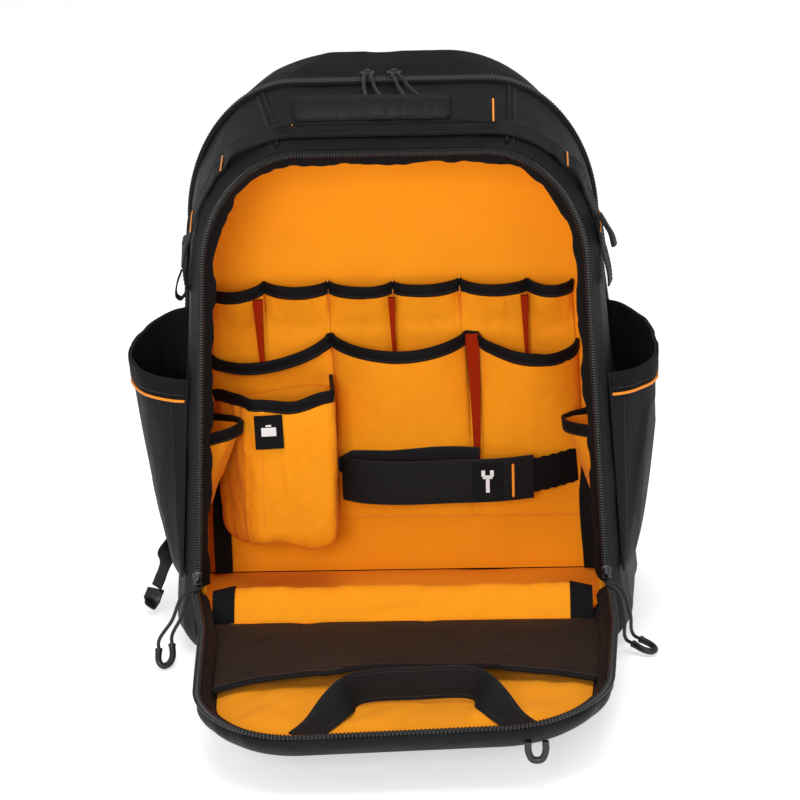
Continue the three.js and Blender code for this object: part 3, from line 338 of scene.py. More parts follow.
class Shader:
    """Material under construction, with one Principled shader."""

    def __init__(self, name: str) -> None:
        """Starts an empty material."""
        self.material = bpy.data.materials.new(name)
        self.material.use_nodes = True
        self.tree = self.material.node_tree
        self.tree.nodes.clear()
        self.output = self.tree.nodes.new("ShaderNodeOutputMaterial")
        self.principled = self.tree.nodes.new("ShaderNodeBsdfPrincipled")
        self.tree.links.new(self.principled.outputs[0], self.output.inputs["Surface"])

    def node(self, kind: str, settings: dict, inputs: dict, output: int | str = 0) -> Socket:
        """Adds a node.

        Args:
            kind: Type of the node.
            settings: Properties, set first. "stops" gives a ramp's places and colours.
            inputs: Values or sockets by input name or number.
            output: Output that is returned.

        Returns:
            The chosen output.
        """
        node = self.tree.nodes.new(kind)
        for key, value in settings.items():
            if key == "stops":
                ramp = node.color_ramp
                while len(ramp.elements) < len(value):
                    ramp.elements.new(0.5)
                for element, (place, colour) in zip(ramp.elements, value):
                    element.position = place
                    element.color = (*colour, 1.0)
            else:
                setattr(node, key, value)
        for key, value in inputs.items():
            if isinstance(value, Socket):
                self.tree.links.new(value.link, node.inputs[key])
            else:
                node.inputs[key].default_value = value
        return Socket(self, node.outputs[output])

    def set(self, **values) -> None:
        """Sets sockets of the Principled shader, whose names have underscores for spaces."""
        for key, value in values.items():
            socket = self.principled.inputs[key.replace("_", " ")]
            if isinstance(value, Socket):
                self.tree.links.new(value.link, socket)
            else:
                socket.default_value = value

    def pattern(self) -> tuple[Socket, Socket]:
        """Distances across and along the cloth in metres, from the piece's own UV map."""
        uv = self.node("ShaderNodeUVMap", {"uv_map": "cloth"}, {})
        split = self.node("ShaderNodeSeparateXYZ", {}, {0: uv})
        return split, Socket(self, split.link.node.outputs[1])

    def noise(self, scale: float, detail: float = 3.0, stretch: Sequence[float] = (1, 1, 1)) -> Socket:
        """Cloudy noise on object coordinates, from nought to one.

        Args:
            scale: Clouds in a metre.
            detail: Number of finer layers.
            stretch: Factor of the coordinates.

        Returns:
            The noise.
        """
        place = self.node("ShaderNodeTexCoord", {}, {}, "Object")
        scaled = self.node("ShaderNodeMapping", {}, {0: place, "Scale": tuple(stretch)})
        inputs = {"Vector": scaled, "Scale": scale, "Detail": detail, "Roughness": 0.55}
        return self.node("ShaderNodeTexNoise", {}, inputs)

    def wear(self) -> Socket:
        """Mask of abrasion and painted highlight at each point of the piece, from nought to one."""
        return self.node("ShaderNodeAttribute", {"attribute_name": "wear"}, {}, "Fac")

    def blend(self, share, first, second) -> Socket:
        """Colour between two colours."""
        inputs = {0: share, 6: first, 7: second}
        return self.node("ShaderNodeMix", {"data_type": "RGBA"}, inputs, 2)

    def relief(self, height: Socket, distance: float, strength: float, under: Socket | None = None) -> Socket:
        """Bump of a height over another bump.

        Args:
            height: Height from nought to one.
            distance: Depth in millimetres.
            strength: Share of the bump that shows.
            under: Bump that this one lies on.

        Returns:
            The bent normal.
        """
        inputs = {"Height": height, "Distance": distance * MM, "Strength": strength}
        if under is not None:
            inputs["Normal"] = under
        return self.node("ShaderNodeBump", {}, inputs)


def colour(r: float, g: float, b: float) -> tuple[float, float, float, float]:
    """Colour with full cover."""
    return (r, g, b, 1.0)


class Weave(Enum):
    """How the yarns of a cloth run."""

    PLAIN = "plain"
    RIBBED = "ribbed"
    BRAIDED = "braided"
    KNITTED = "knitted"


@dataclass(frozen=True)
class Cloth:
    """Woven finish with yarns, cloudy colour, soft creases, and edges lightened by a mask of abrasion and
    painted highlight.
    """

    name: str
    slot: str
    main: tuple
    dark: tuple
    worn_and_highlit: tuple
    pitch: float = 0.7
    weave: Weave = Weave.PLAIN
    roughness: float = 0.75
    sheen: float = 0.1
    specular: float = 0.3
    relief: float = 0.22
    puckers: float = 0.35

    def yarns(self, shader: Shader) -> Socket:
        """Height of the yarns.

        Plain: the sine waves of both directions cross, and their product's sign says which yarn lies
        on top. Ribbed: ribs across a strap with a fine bias. Braided: both biases of a cord.

        Args:
            shader: Material under construction.

        Returns:
            Height from nought to one.
        """
        u, v = shader.pattern()
        turn = math.pi / (self.pitch * MM)
        if self.weave is Weave.PLAIN:
            first = (u * turn).sin()
            second = (v * turn).sin()
            over = (first * second) > 0.0
            return over * abs(first) + (1 - over) * abs(second)
        if self.weave is Weave.RIBBED:
            rib = abs((u * turn).sin())
            bias = abs(((v * (turn * 1.4)) + (u * (turn * 0.7))).sin())
            return rib * 0.65 + bias * 0.35
        if self.weave is Weave.KNITTED:
            rows = abs((v * turn).sin())
            cells = abs(((u * turn) + (rows * 0.9)).sin())
            return rows * 0.5 + cells * 0.5
        left = abs(((u * turn) + (v * turn * 0.6)).sin())
        right = abs(((v * turn * 0.6) - (u * turn)).sin())
        return left * right

    def material(self) -> bpy.types.Material:
        """Builds the material."""
        shader = Shader(self.name)
        yarns = self.yarns(shader)
        clouds = shader.noise(16.0, 4.0)
        grain = shader.noise(1100.0, 2.0)
        # the yarn heights darken the colour in the hollows of the weave, a painted shade at yarn scale; the
        # clouds and grain are random tone
        share = (yarns * 0.45 + grain * 0.35 + clouds * 0.45).clamped()
        base = shader.blend(share, colour(*self.dark), colour(*self.main))
        # the mask lightens the colour: abrasion at most edges, and a painted highlight on the flap's rim and
        # on the bindings' folded crests
        rubbed_and_highlit = (shader.wear() * (shader.noise(240.0, 3.0) * 1.6)).clamped() * 0.6
        shader.set(Base_Color=shader.blend(rubbed_and_highlit, base, colour(*self.worn_and_highlit)))
        shader.set(Roughness=(clouds * 0.16 + (self.roughness - 0.08)).clamped())
        puckers = shader.relief(shader.noise(95.0, 3.0), 1.6, self.puckers)
        weave = shader.relief(yarns * 0.7 + grain * 0.3, self.relief, 0.55, puckers)
        shader.set(Normal=weave, Sheen_Weight=self.sheen, Sheen_Roughness=0.4)
        shader.set(Specular_IOR_Level=self.specular)
        return shader.material


@dataclass(frozen=True)
class Moulded:
    """Moulded plastic with a fine spark-eroded grain."""

    name: str
    slot: str
    main: tuple
    roughness: float = 0.45

    def material(self) -> bpy.types.Material:
        """Builds the material."""
        shader = Shader(self.name)
        clouds = shader.noise(60.0, 3.0)
        grain = shader.noise(1600.0, 2.0)
        lighter = colour(*(min(1.0, value * 1.8 + 0.006) for value in self.main))
        scuffs = (shader.wear() * shader.noise(500.0, 4.0)).clamped()
        share = (clouds * 0.5 + scuffs * 0.5).clamped()
        shader.set(Base_Color=shader.blend(share, colour(*self.main), lighter))
        shader.set(Roughness=(clouds * 0.2 + (self.roughness - 0.1)).clamped())
        shader.set(Normal=shader.relief(grain, 0.06, 0.4), Specular_IOR_Level=0.45)
        return shader.material


@dataclass(frozen=True)
class Metal:
    """Dark plated metal with fine scratches."""

    name: str
    slot: str
    main: tuple

    def material(self) -> bpy.types.Material:
        """Builds the material."""
        shader = Shader(self.name)
        clouds = shader.noise(300.0, 4.0)
        scratches = shader.noise(900.0, 2.0, (1.0, 1.0, 9.0))
        bright = colour(*(min(1.0, value * 1.9) for value in self.main))
        base = shader.blend((clouds * 0.8).clamped(), colour(*self.main), bright)
        shader.set(Base_Color=base, Metallic=0.9)
        shader.set(Roughness=(scratches * 0.25 + 0.2).clamped())
        shader.set(Normal=shader.relief(scratches, 0.05, 0.3))
        return shader.material


@dataclass(frozen=True)
class Leather:
    """Coated grip cover with a pebbled grain."""

    name: str
    slot: str
    main: tuple
    dark: tuple

    def material(self) -> bpy.types.Material:
        """Builds the material."""
        shader = Shader(self.name)
        place = shader.node("ShaderNodeTexCoord", {}, {}, "Object")
        inputs = {"Vector": place, "Scale": 620.0}
        pebbles = shader.node("ShaderNodeTexVoronoi", {"feature": "F1"}, inputs)
        clouds = shader.noise(45.0, 4.0)
        share = (pebbles * 0.5 + clouds * 0.6).clamped()
        base = shader.blend(share, colour(*self.dark), colour(*self.main))
        worn_and_highlit = (shader.wear() * clouds * 1.5).clamped() * 0.5
        shader.set(Base_Color=shader.blend(worn_and_highlit, base, colour(0.03, 0.03, 0.033)))
        shader.set(Roughness=(clouds * 0.2 + 0.38).clamped())
        creases = shader.relief(shader.noise(130.0, 4.0), 1.0, 0.4)
        shader.set(Normal=shader.relief(pebbles, 0.25, 0.5, creases), Specular_IOR_Level=0.14)
        return shader.material


@dataclass(frozen=True)
class Netting:
    """Knitted net with open cells between vertical cords."""

    name: str
    slot: str
    main: tuple
    cell: float = 1.5

    def material(self) -> bpy.types.Material:
        """Builds the material."""
        shader = Shader(self.name)
        u, v = shader.pattern()
        turn = math.pi / (self.cell * MM)
        cords = abs((u * turn).sin())
        ties = abs(((v * (turn * 0.8)) + ((u * turn).sin() * 0.8)).sin())
        threads = (cords * 0.6 + ties * 0.4).clamped()
        clouds = shader.noise(30.0, 3.0)
        base = shader.blend(clouds, colour(*self.main), colour(0.03, 0.016, 0.01))
        shader.set(Base_Color=base, Roughness=0.8)
        shader.set(Alpha=(threads * 0.75 + 0.36).clamped())
        shader.set(Normal=shader.relief(threads, 0.4, 0.6), Specular_IOR_Level=0.25)
        return shader.material


BLACK = Cloth("black_pack_cloth", "black_cloth", (0.0062, 0.0066, 0.0082), (0.003, 0.0032, 0.004),
              (0.022, 0.022, 0.024), pitch=0.75, roughness=0.56, sheen=0.008, specular=0.12)
ORANGE = Cloth("orange_lining_cloth", "orange_cloth", (0.95, 0.345, 0.01), (0.72, 0.215, 0.005),
               (1.0, 0.46, 0.05), pitch=0.8, roughness=0.75, sheen=0.03, specular=0.1, relief=0.25)
BINDING = Cloth("black_binding_tape", "black_binding", (0.0052, 0.0052, 0.006), (0.002, 0.002, 0.0024),
                (0.018, 0.018, 0.019), pitch=1.1, weave=Weave.RIBBED, roughness=0.7, sheen=0.01,
                specular=0.1, relief=0.3)
WEBBING = Cloth("black_webbing_weave", "black_webbing", (0.0085, 0.0085, 0.0095), (0.0012, 0.0012, 0.0015),
                (0.024, 0.024, 0.025), pitch=1.9, weave=Weave.RIBBED, roughness=0.6, sheen=0.01,
                specular=0.14, relief=0.8, puckers=0.15)
FOAM = Cloth("black_air_mesh", "black_foam", (0.012, 0.0123, 0.0135), (0.003, 0.003, 0.0035),
             (0.03, 0.03, 0.032), pitch=2.6, weave=Weave.KNITTED, roughness=0.85, sheen=0.03,
             specular=0.12, relief=0.9, puckers=0.3)
PIPING = Cloth("orange_piping_cord", "orange_cloth", (0.95, 0.29, 0.006), (0.6, 0.15, 0.003),
               (1.0, 0.42, 0.05), pitch=0.9, weave=Weave.BRAIDED, roughness=0.5, specular=0.4)
THREAD = Cloth("orange_bar_thread", "orange_cloth", (0.95, 0.3, 0.008), (0.55, 0.13, 0.003),
               (1.0, 0.45, 0.06), pitch=0.5, weave=Weave.RIBBED, roughness=0.45, specular=0.5)
CORD = Cloth("black_pull_cord", "black_cord", (0.012, 0.012, 0.013), (0.003, 0.003, 0.003),
             (0.04, 0.04, 0.04), pitch=1.1, weave=Weave.BRAIDED, roughness=0.55, specular=0.4, relief=0.3)
BLACK_THREAD = Cloth("black_seam_thread", "black_binding", (0.02, 0.02, 0.021), (0.006, 0.006, 0.006),
                     (0.05, 0.05, 0.05), pitch=0.4, weave=Weave.RIBBED, roughness=0.5, specular=0.4)
MARK = Cloth("pale_woven_mark", "black_binding", (0.85, 0.85, 0.84), (0.6, 0.6, 0.6),
             (0.9, 0.9, 0.9), pitch=0.5, roughness=0.6)
PLASTIC = Moulded("black_moulded_plastic", "black_plastic", (0.006, 0.006, 0.0068))
COIL = Moulded("black_zip_coil", "black_plastic", (0.005, 0.005, 0.0056), 0.36)
METAL = Metal("dark_zip_metal", "zip_metal", (0.04, 0.04, 0.044))
LEATHER = Leather("grey_grip_cover", "grey_leather", (0.006, 0.0062, 0.0078), (0.003, 0.0031, 0.004))
NET = Netting("black_pocket_net", "black_mesh", (0.008, 0.006, 0.005))
# painted shade: a dark red cloth for the sheets laid in the pockets' pleats, where the orange cloth lies in
# shade
PLEAT_SHADE = Cloth("pleat_painted_shade_cloth", "orange_cloth", (0.33, 0.02, 0.002), (0.16, 0.008, 0.001),
              (0.5, 0.04, 0.004), pitch=0.8, roughness=0.85, sheen=0.0, specular=0.05, relief=0.2)


# Meshes


class Skin:
    """Closed surfaces that become one mesh, each with its finish, cloth distances and a mask of abrasion and
    painted highlight.
    """

    materials: dict = {}

    def __init__(self) -> None:
        """Starts an empty skin."""
        self.corners: list = []
        self.faces: list = []
        self.places: list = []
        self.worn_and_highlit: list = []
        self.marks: list = []
        self.finishes: list = []
        self.count = 0

    def _cells(self, rows: int, columns: int, wrapped: bool) -> tuple[Grid, Grid]:
        """Corner numbers of the cells of a grid, on the piece and on its unrolled pattern."""
        r, c = np.meshgrid(np.arange(rows - 1), np.arange(columns - (not wrapped)), indexing="ij")
        flat = columns + wrapped

        def numbers(width: int, right: Grid) -> Grid:
            """Four corners of each cell."""
            top = r * width
            return np.stack([top + c, top + right, top + width + right, top + width + c], -1)

        return numbers(columns, (c + 1) % columns).reshape(-1, 4), numbers(flat, c + 1).reshape(-1, 4)

    def _distances(self, grid: Grid, wrapped: bool) -> Grid:
        """Distances across and along the cloth: cumulative lengths of rows and of the mean column."""
        unrolled = np.concatenate([grid, grid[:, :1]], axis=1) if wrapped else grid
        across = np.cumsum(np.linalg.norm(np.diff(unrolled, axis=1), axis=2), axis=1)
        across = np.concatenate([np.zeros((len(grid), 1)), across], axis=1)
        across -= across[:, across.shape[1] // 2][:, None]
        step = np.linalg.norm(np.diff(unrolled, axis=0), axis=2).mean(axis=1)
        along = np.concatenate([[0.0], np.cumsum(step)])
        return np.stack([across, np.broadcast_to(along[:, None], across.shape)], -1).reshape(-1, 2) * MM

    def _keep(self, corners: Grid, pieces: list, worn_and_highlit: Grid, finish) -> "Skin":
        """Keeps a closed surface, turned outward by the sign of its volume."""
        volume = 0.0
        for ids, _ in pieces:
            for k in range(1, ids.shape[1] - 1):
                a, b, c = corners[ids[:, 0]], corners[ids[:, k]], corners[ids[:, k + 1]]
                volume += np.sum(a * np.cross(b, c))
        if finish not in self.finishes:
            self.finishes.append(finish)
        for ids, places in pieces:
            order = slice(None, None, -1 if volume < 0 else 1)
            self.faces.append(ids[:, order] + self.count)
            self.places.append(places[:, order].reshape(-1, 2))
            self.marks.append(np.full(len(ids), self.finishes.index(finish)))
        self.corners.append(corners)
        self.worn_and_highlit.append(worn_and_highlit)
        self.count += len(corners)
        return self

    def sheet(self, front: Grid, back: Grid, finish, wrapped: bool = False, wear=0.0) -> "Skin":
        """Adds the solid between two grids.

        Args:
            front: Outer grid.
            back: Inner grid.
            finish: Finish of all faces.
            wrapped: Whether the last column meets the first.
            wear: Lightening at each point of the grid, from abrasion and painted highlight.

        Returns:
            The skin.
        """
        rows, columns = front.shape[:2]
        ids, flat = self._cells(rows, columns, wrapped)
        places = self._distances(front, wrapped)
        count = rows * columns
        pieces = [(ids, places[flat]), (ids[:, ::-1] + count, places[flat][:, ::-1])]
        c = np.arange(columns - (not wrapped))
        d = (c + 1) % columns
        width = columns + wrapped
        last = (rows - 1) * columns
        lowest = (rows - 1) * width
        turn = np.array([1.0, 1.0]) * MM
        edge = np.stack([d, c, c + count, d + count], 1)
        spots = np.stack([places[c + 1], places[c], places[c] - turn, places[c + 1] - turn], 1)
        pieces.append((edge, spots))
        edge = np.stack([c + last, d + last, d + last + count, c + last + count], 1)
        near, far = places[lowest + c], places[lowest + c + 1]
        pieces.append((edge, np.stack([near, far, far + turn, near + turn], 1)))
        if not wrapped:
            r = np.arange(rows - 1) * columns
            e = r + columns - 1
            edge = np.stack([r, r + columns, r + columns + count, r + count], 1)
            near, far = places[r], places[r + columns]
            pieces.append((edge, np.stack([near, far, far - turn, near - turn], 1)))
            edge = np.stack([e + columns, e, e + count, e + columns + count], 1)
            near, far = places[e + columns], places[e]
            pieces.append((edge, np.stack([near, far, far + turn, near + turn], 1)))
        worn_and_highlit = np.broadcast_to(wear, (rows, columns)).reshape(-1)
        corners = np.concatenate([front.reshape(-1, 3), back.reshape(-1, 3)])
        return self._keep(corners, pieces, np.concatenate([worn_and_highlit, worn_and_highlit]), finish)

    def _fan(self, ring: Grid, pole: int, spots: Grid, forward: bool) -> tuple[Grid, Grid]:
        """Triangles from a ring of corners to a pole."""
        after = np.roll(ring, -1)
        first, second = (ring, after) if forward else (after, ring)
        ids = np.stack([first, second, np.full(len(ring), pole)], 1)
        middle = np.broadcast_to(spots.mean(axis=0), spots.shape)
        return ids, np.stack([spots, spots, middle], 1)

    def cup(self, outer: Grid, inner: Grid, finish, wear=0.0) -> "Skin":
        """Adds an open cup, whose rings run from the rim to near the middle of its closed end.

        Args:
            outer: Outer rings.
            inner: Inner rings.
            finish: Finish of all faces.
            wear: Lightening at each point of the rings, from abrasion and painted highlight.

        Returns:
            The skin.
        """
        rows, columns = outer.shape[:2]
        ids, flat = self._cells(rows, columns, True)
        places = self._distances(outer, True)
        count = rows * columns
        ring = np.arange(columns)
        after = (ring + 1) % columns
        rim = np.stack([after, ring, ring + count, after + count], 1)
        near, far = places[ring], places[ring + 1]
        last = ring + (rows - 1) * columns
        spots = places[(rows - 1) * (columns + 1) + ring]
        pieces = [
            (ids, places[flat]), (ids[:, ::-1] + count, places[flat][:, ::-1]),
            (rim, np.stack([far, near, near - MM, far - MM], 1)),
            self._fan(last, 2 * count, spots, True), self._fan(last + count, 2 * count + 1, spots, False),
        ]
        poles = np.stack([outer[-1].mean(axis=0), inner[-1].mean(axis=0)])
        corners = np.concatenate([outer.reshape(-1, 3), inner.reshape(-1, 3), poles])
        worn_and_highlit = np.broadcast_to(wear, (rows, columns)).reshape(-1)
        worn_and_highlit = np.concatenate([worn_and_highlit, worn_and_highlit, [worn_and_highlit[-1], worn_and_highlit[-1]]])
        return self._keep(corners, pieces, worn_and_highlit, finish)

    def tube(self, rings: Grid, finish, wear=0.0) -> "Skin":
        """Adds a bar through rings, closed at both ends.

        Args:
            rings: Rings, path by section.
            finish: Finish of all faces.
            wear: Lightening at each point of the rings, from abrasion and painted highlight.

        Returns:
            The skin.
        """
        rows, columns = rings.shape[:2]
        ids, flat = self._cells(rows, columns, True)
        places = self._distances(rings, True)
        ring = np.arange(columns)
        count = rows * columns
        end = (rows - 1) * (columns + 1)
        pieces = [
            (ids, places[flat]), self._fan(ring, count, places[ring], False),
            self._fan(ring + count - columns, count + 1, places[end + ring], True),
        ]
        poles = np.stack([rings[0].mean(axis=0), rings[-1].mean(axis=0)])
        corners = np.concatenate([rings.reshape(-1, 3), poles])
        worn_and_highlit = np.broadcast_to(wear, (rows, columns)).reshape(-1)
        return self._keep(corners, pieces, np.concatenate([worn_and_highlit, worn_and_highlit[:1], worn_and_highlit[-1:]]), finish)

    def bar(self, path: Grid, across, section: tuple, finish, swell: Grid | None = None) -> "Skin":
        """Adds a rounded bar along a path.

        Args:
            path: Middle line.
            across: Direction of the width.
            section: Width, thickness, sides and power of the section.
            finish: Finish of all faces.
            swell: Factor for the section at each point.

        Returns:
            The skin.
        """
        return self.tube(swept(path, across, rounded_section(*section), swell), finish)

    def stitches(self, path: Grid, normal, finish, pitch: float = 3.2, size: float = 0.32) -> "Skin":
        """Adds a row of stitches, each a small spindle that dips at both ends.

        Args:
            path: Seam line.
            normal: Outward direction, one for all or one a point.
            finish: Finish of the thread.
            pitch: Distance from stitch to stitch.
            size: Radius of the thread.

        Returns:
            The skin.
        """
        total = lengths(path)[-1]
        count = max(2, int(total / pitch))
        line = even(path, count * 2 + 1)[1::2]
        direction = even(np.concatenate([path, tangents(path)], 1), count * 2 + 1)[1::2, 3:]
        outward = np.broadcast_to(np.asarray(normal, float), path.shape)
        outward = unit(even(np.concatenate([path, outward], 1), count * 2 + 1)[1::2, 3:])
        side = unit(np.cross(direction, outward))
        stations = np.array([[-0.42, 0.25, -0.3], [-0.2, 0.9, 0.35], [0.2, 0.9, 0.35], [0.42, 0.25, -0.3]])
        angle = np.arange(5) * TAU / 5
        along = stations[:, 0, None] * pitch * np.ones(5)
        width = stations[:, 1, None] * size * 1.25 * np.cos(angle)
        rise = stations[:, 1, None] * size * np.sin(angle) + stations[:, 2, None] * size
        template = np.stack([along, width, rise], -1)
        axes = np.stack([direction, side, outward], 1)
        rings = line[:, None, None] + np.einsum("rsk,nkj->nrsj", template, axes)
        rows, columns = 4, 5
        ids, _ = self._cells(rows, columns, True)
        ring = np.arange(columns)
        caps = np.concatenate([
            np.stack([np.full(columns - 2, 0), ring[2:], ring[1:-1]], 1),
            np.stack([np.full(columns - 2, 15), 15 + ring[1:-1], 15 + ring[2:]], 1),
        ])
        shift = (np.arange(len(line)) * rows * columns)[:, None, None]
        quads = (ids[None] + shift).reshape(-1, 4)
        triangles = (caps[None] + shift).reshape(-1, 3)
        corners = rings.reshape(-1, 3)
        pieces = [(quads, np.tile(template.reshape(-1, 3)[ids][..., :2] * MM, (len(line), 1, 1))),
                  (triangles, np.zeros((len(triangles), 3, 2)))]
        return self._keep(corners, pieces, np.zeros(len(corners)), finish)

    def build(self, name: str) -> bpy.types.Object:
        """Makes the mesh and its object, in metres.

        Args:
            name: Name of the piece.

        Returns:
            The object, with the finishes in its material slots.
        """
        mesh = bpy.data.meshes.new(name)
        corners = np.concatenate(self.corners) * MM
        faces = [face for block in self.faces for face in block.tolist()]
        mesh.from_pydata(corners.tolist(), [], faces)
        for finish in self.finishes:
            if finish.name not in Skin.materials:
                Skin.materials[finish.name] = finish.material()
            mesh.materials.append(Skin.materials[finish.name])
        layer = mesh.uv_layers.new(name="cloth")
        layer.data.foreach_set("uv", np.concatenate(self.places).astype(np.float32).ravel())
        wear = mesh.attributes.new("wear", "FLOAT", "POINT")
        wear.data.foreach_set("value", np.concatenate(self.worn_and_highlit).astype(np.float32))
        mesh.polygons.foreach_set("material_index", np.concatenate(self.marks).astype(np.int32))
        mesh.polygons.foreach_set("use_smooth", np.ones(len(faces), bool))
        mesh.set_sharp_from_angle(angle=math.radians(50))
        mesh.update()
        piece = bpy.data.objects.new(name, mesh)
        bpy.context.scene.collection.objects.link(piece)
        return piece


def slumped(points: Grid) -> Grid:
    """Points of the bag with its slump: the upper half leans a little to the left at its back.

    Whatever touches the floor is flattened on it.
    """
    back = np.clip((points[..., 1] + 60) / 90, 0, 1)
    high = np.clip((points[..., 2] - 140) / 160, 0, 1)
    moved = points.copy()
    moved[..., 0] -= 5.0 * back * high**2 * (3 - 2 * high)
    moved[..., 2] = np.maximum(moved[..., 2], 0.0)
    return moved


def place(skin: Skin, name: str, nodes: Sequence[str] = (), slot: str | None = None) -> bpy.types.Object:
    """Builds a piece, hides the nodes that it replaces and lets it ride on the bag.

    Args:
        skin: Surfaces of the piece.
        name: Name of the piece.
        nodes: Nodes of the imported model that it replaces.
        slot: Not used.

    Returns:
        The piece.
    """
    piece = skin.build(name)
    corners = np.empty(len(piece.data.vertices) * 3)
    piece.data.vertices.foreach_get("co", corners)
    piece.data.vertices.foreach_set("co", (slumped(corners.reshape(-1, 3) / MM) * MM).ravel())
    piece.data.update()
    if nodes:
        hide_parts(*nodes)
    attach(piece, "root")
    LOG.info("%s: %d corners", name, len(piece.data.vertices))
    return piece


# The bag's form


@dataclass(frozen=True)
class BodyForm:
    """Arched body between its front opening, its rear zip and its back face.

    At each depth the outline is a flat bottom, round corners, leaning sides, a quarter ellipse at
    each shoulder and a flat crown. Its measures follow smooth curves through the stations.
    """

    front: float = -115.0
    zip: float = 30.0
    back: float = 104.0
    half_width: float = 188.0
    height: float = 445.0
    radius: float = 25.0
    slope: float = 0.04
    depths: tuple = (0.0, 0.055, 0.16, 0.388, 0.662, 0.776, 0.881, 0.959, 1.0)
    base: tuple = (0.867, 0.92, 0.957, 0.979, 1.0, 1.0, 0.989, 0.957, 0.894)
    shoulder: tuple = (0.798, 0.83, 0.846, 0.851, 0.856, 0.848, 0.83, 0.782, 0.718)
    across: tuple = (0.425, 0.436, 0.441, 0.447, 0.457, 0.53, 0.6, 0.6, 0.57)
    top: tuple = (0.897, 0.906, 0.917, 0.939, 0.962, 0.984, 1.0, 0.985, 0.951)
    up: tuple = (0.218, 0.225, 0.231, 0.24, 0.245, 0.285, 0.31, 0.31, 0.29)
    foot: tuple = (0.0, 0.0, 0.0, 0.0, 0.0, 0.0, 0.0, 0.009, 0.036)

    def measures(self, y) -> list:
        """Base, shoulder, across, top, up and foot of the outline at depths."""
        share = (np.asarray(y, float) - self.front) / (self.back - self.front)
        columns = ((self.base, self.half_width), (self.shoulder, self.half_width),
                   (self.across, self.half_width), (self.top, self.height), (self.up, self.height),
                   (self.foot, self.height))
        return [np.interp(share, self.depths, values) * size for values, size in columns]

    def lean(self, points: Grid) -> Grid:
        """Points of the upright body leaned back, most at the front, not at all at the rear zip."""
        fade = np.clip((self.zip - points[..., 1]) / (self.zip - self.front), 0, 1)
        leaned = points.copy()
        leaned[..., 1] += self.slope * points[..., 2] * fade
        return leaned

    def side(self, y, z) -> Grid:
        """Half width of the outer face at a depth and height."""
        base, shoulder, across, top, up, _ = self.measures(y)
        share = np.clip((z - self.radius) / (top - up - self.radius), 0, 1)
        rise = np.clip((z - (top - up)) / up, 0, 1)
        arched = shoulder - across + across * np.sqrt(1 - rise**2)
        return np.where(rise > 0, arched, mix(base, shoulder, share))

    def _half(self, y: Grid, inset, foot=None, fine: int = 1) -> Grid:
        """Right half of the outline, from the bottom's middle, or a foot height, to the crown's middle."""
        y = np.asarray(y, float)[:, None]
        base, shoulder, across, top, up, low = self.measures(y)
        inset = np.broadcast_to(np.asarray(inset, float).reshape(-1, 1), y.shape)
        rows = []
        if foot is None:
            s = np.linspace(0, 1, 12 * fine, endpoint=False)[None]
            rows.append(((base - self.radius) * s, low + inset + 0 * s))
            angle = np.linspace(0, math.pi / 2, 8 * fine, endpoint=False)[None]
            rows.append((base - self.radius + (self.radius - inset) * np.sin(angle),
                         low + self.radius - (self.radius - inset) * np.cos(angle)))
            start = low + self.radius
        else:
            start = np.full_like(y, foot)
        s = np.linspace(0, 1, 44 * fine, endpoint=False)[None]
        z = mix(start, top - up, s)
        rows.append((self.side(y + 0 * s, z) - inset, z))
        angle = np.linspace(0, math.pi / 2, 52 * fine, endpoint=False)[None]
        rows.append((shoulder - across + (across - inset) * np.cos(angle),
                     top - up + (up - inset) * np.sin(angle)))
        s = np.linspace(0, 1, 22 * fine)[None]
        rows.append(((shoulder - across) * (1 - s), top - inset + 0 * s))
        x = np.concatenate([row[0] for row in rows], axis=1)
        z = np.concatenate([row[1] + 0 * row[0] for row in rows], axis=1)
        return points_at(x, y, z)

    def spot(self, x, y, off=0.0) -> Grid:
        """Points on the crown and shoulders at places across and depths, off the outer face."""
        x, y = np.broadcast_arrays(np.asarray(x, float), np.asarray(y, float))
        _, shoulder, across, top, up, _ = self.measures(y)
        flat = shoulder - across
        cosine = np.clip((np.abs(x) - flat) / across, 0, 1)
        sine = np.sqrt(1 - cosine**2)
        arched = np.sign(x) * (flat + (across + off) * cosine)
        points = np.stack([np.where(np.abs(x) > flat, arched, x), y, top - up + (up + off) * sine], -1)
        return self.lean(points)

    def ring(self, y: Grid, inset=0.0) -> Grid:
        """Whole outlines at depths, one row a depth."""
        half = self._half(y, inset)
        mirrored = half[:, -2:0:-1] * np.array([-1.0, 1.0, 1.0])
        return self.lean(np.concatenate([half, mirrored], axis=1))

    def arch(self, y: Grid, inset, foot: float, fine: int = 1) -> Grid:
        """Outlines from a left foot over the crown to a right foot, one row a depth."""
        half = self._half(y, inset, foot, fine)
        return self.lean(np.concatenate([half * np.array([-1.0, 1.0, 1.0]), half[:, -2::-1]], axis=1))

    def crown(self, y: float) -> float:
        """Height of the top at a place where the front leans back."""
        at = y
        for _ in range(6):
            top = float(self.measures(at)[3])
            fade = min(max((self.zip - at) / (self.zip - self.front), 0.0), 1.0)
            at = y - self.slope * top * fade
        return float(self.measures(at)[3])


FORM = BodyForm()
CLEARANCE = 0.3
LOOSE = 0.7
SHELL_WALL = 3.0
LINING_INSET = SHELL_WALL + CLEARANCE
CLOTH_WALL = 1.2
WEB_WALL = 1.6
FLOOR = 28.0
OPENING_FOOT = 58.0
DIVIDER = FORM.zip - 15.0


def ring_distance(grid: Grid) -> Grid:
    """Distance round the middle row of a grid, as one row."""
    return lengths(grid[len(grid) // 2])[None]


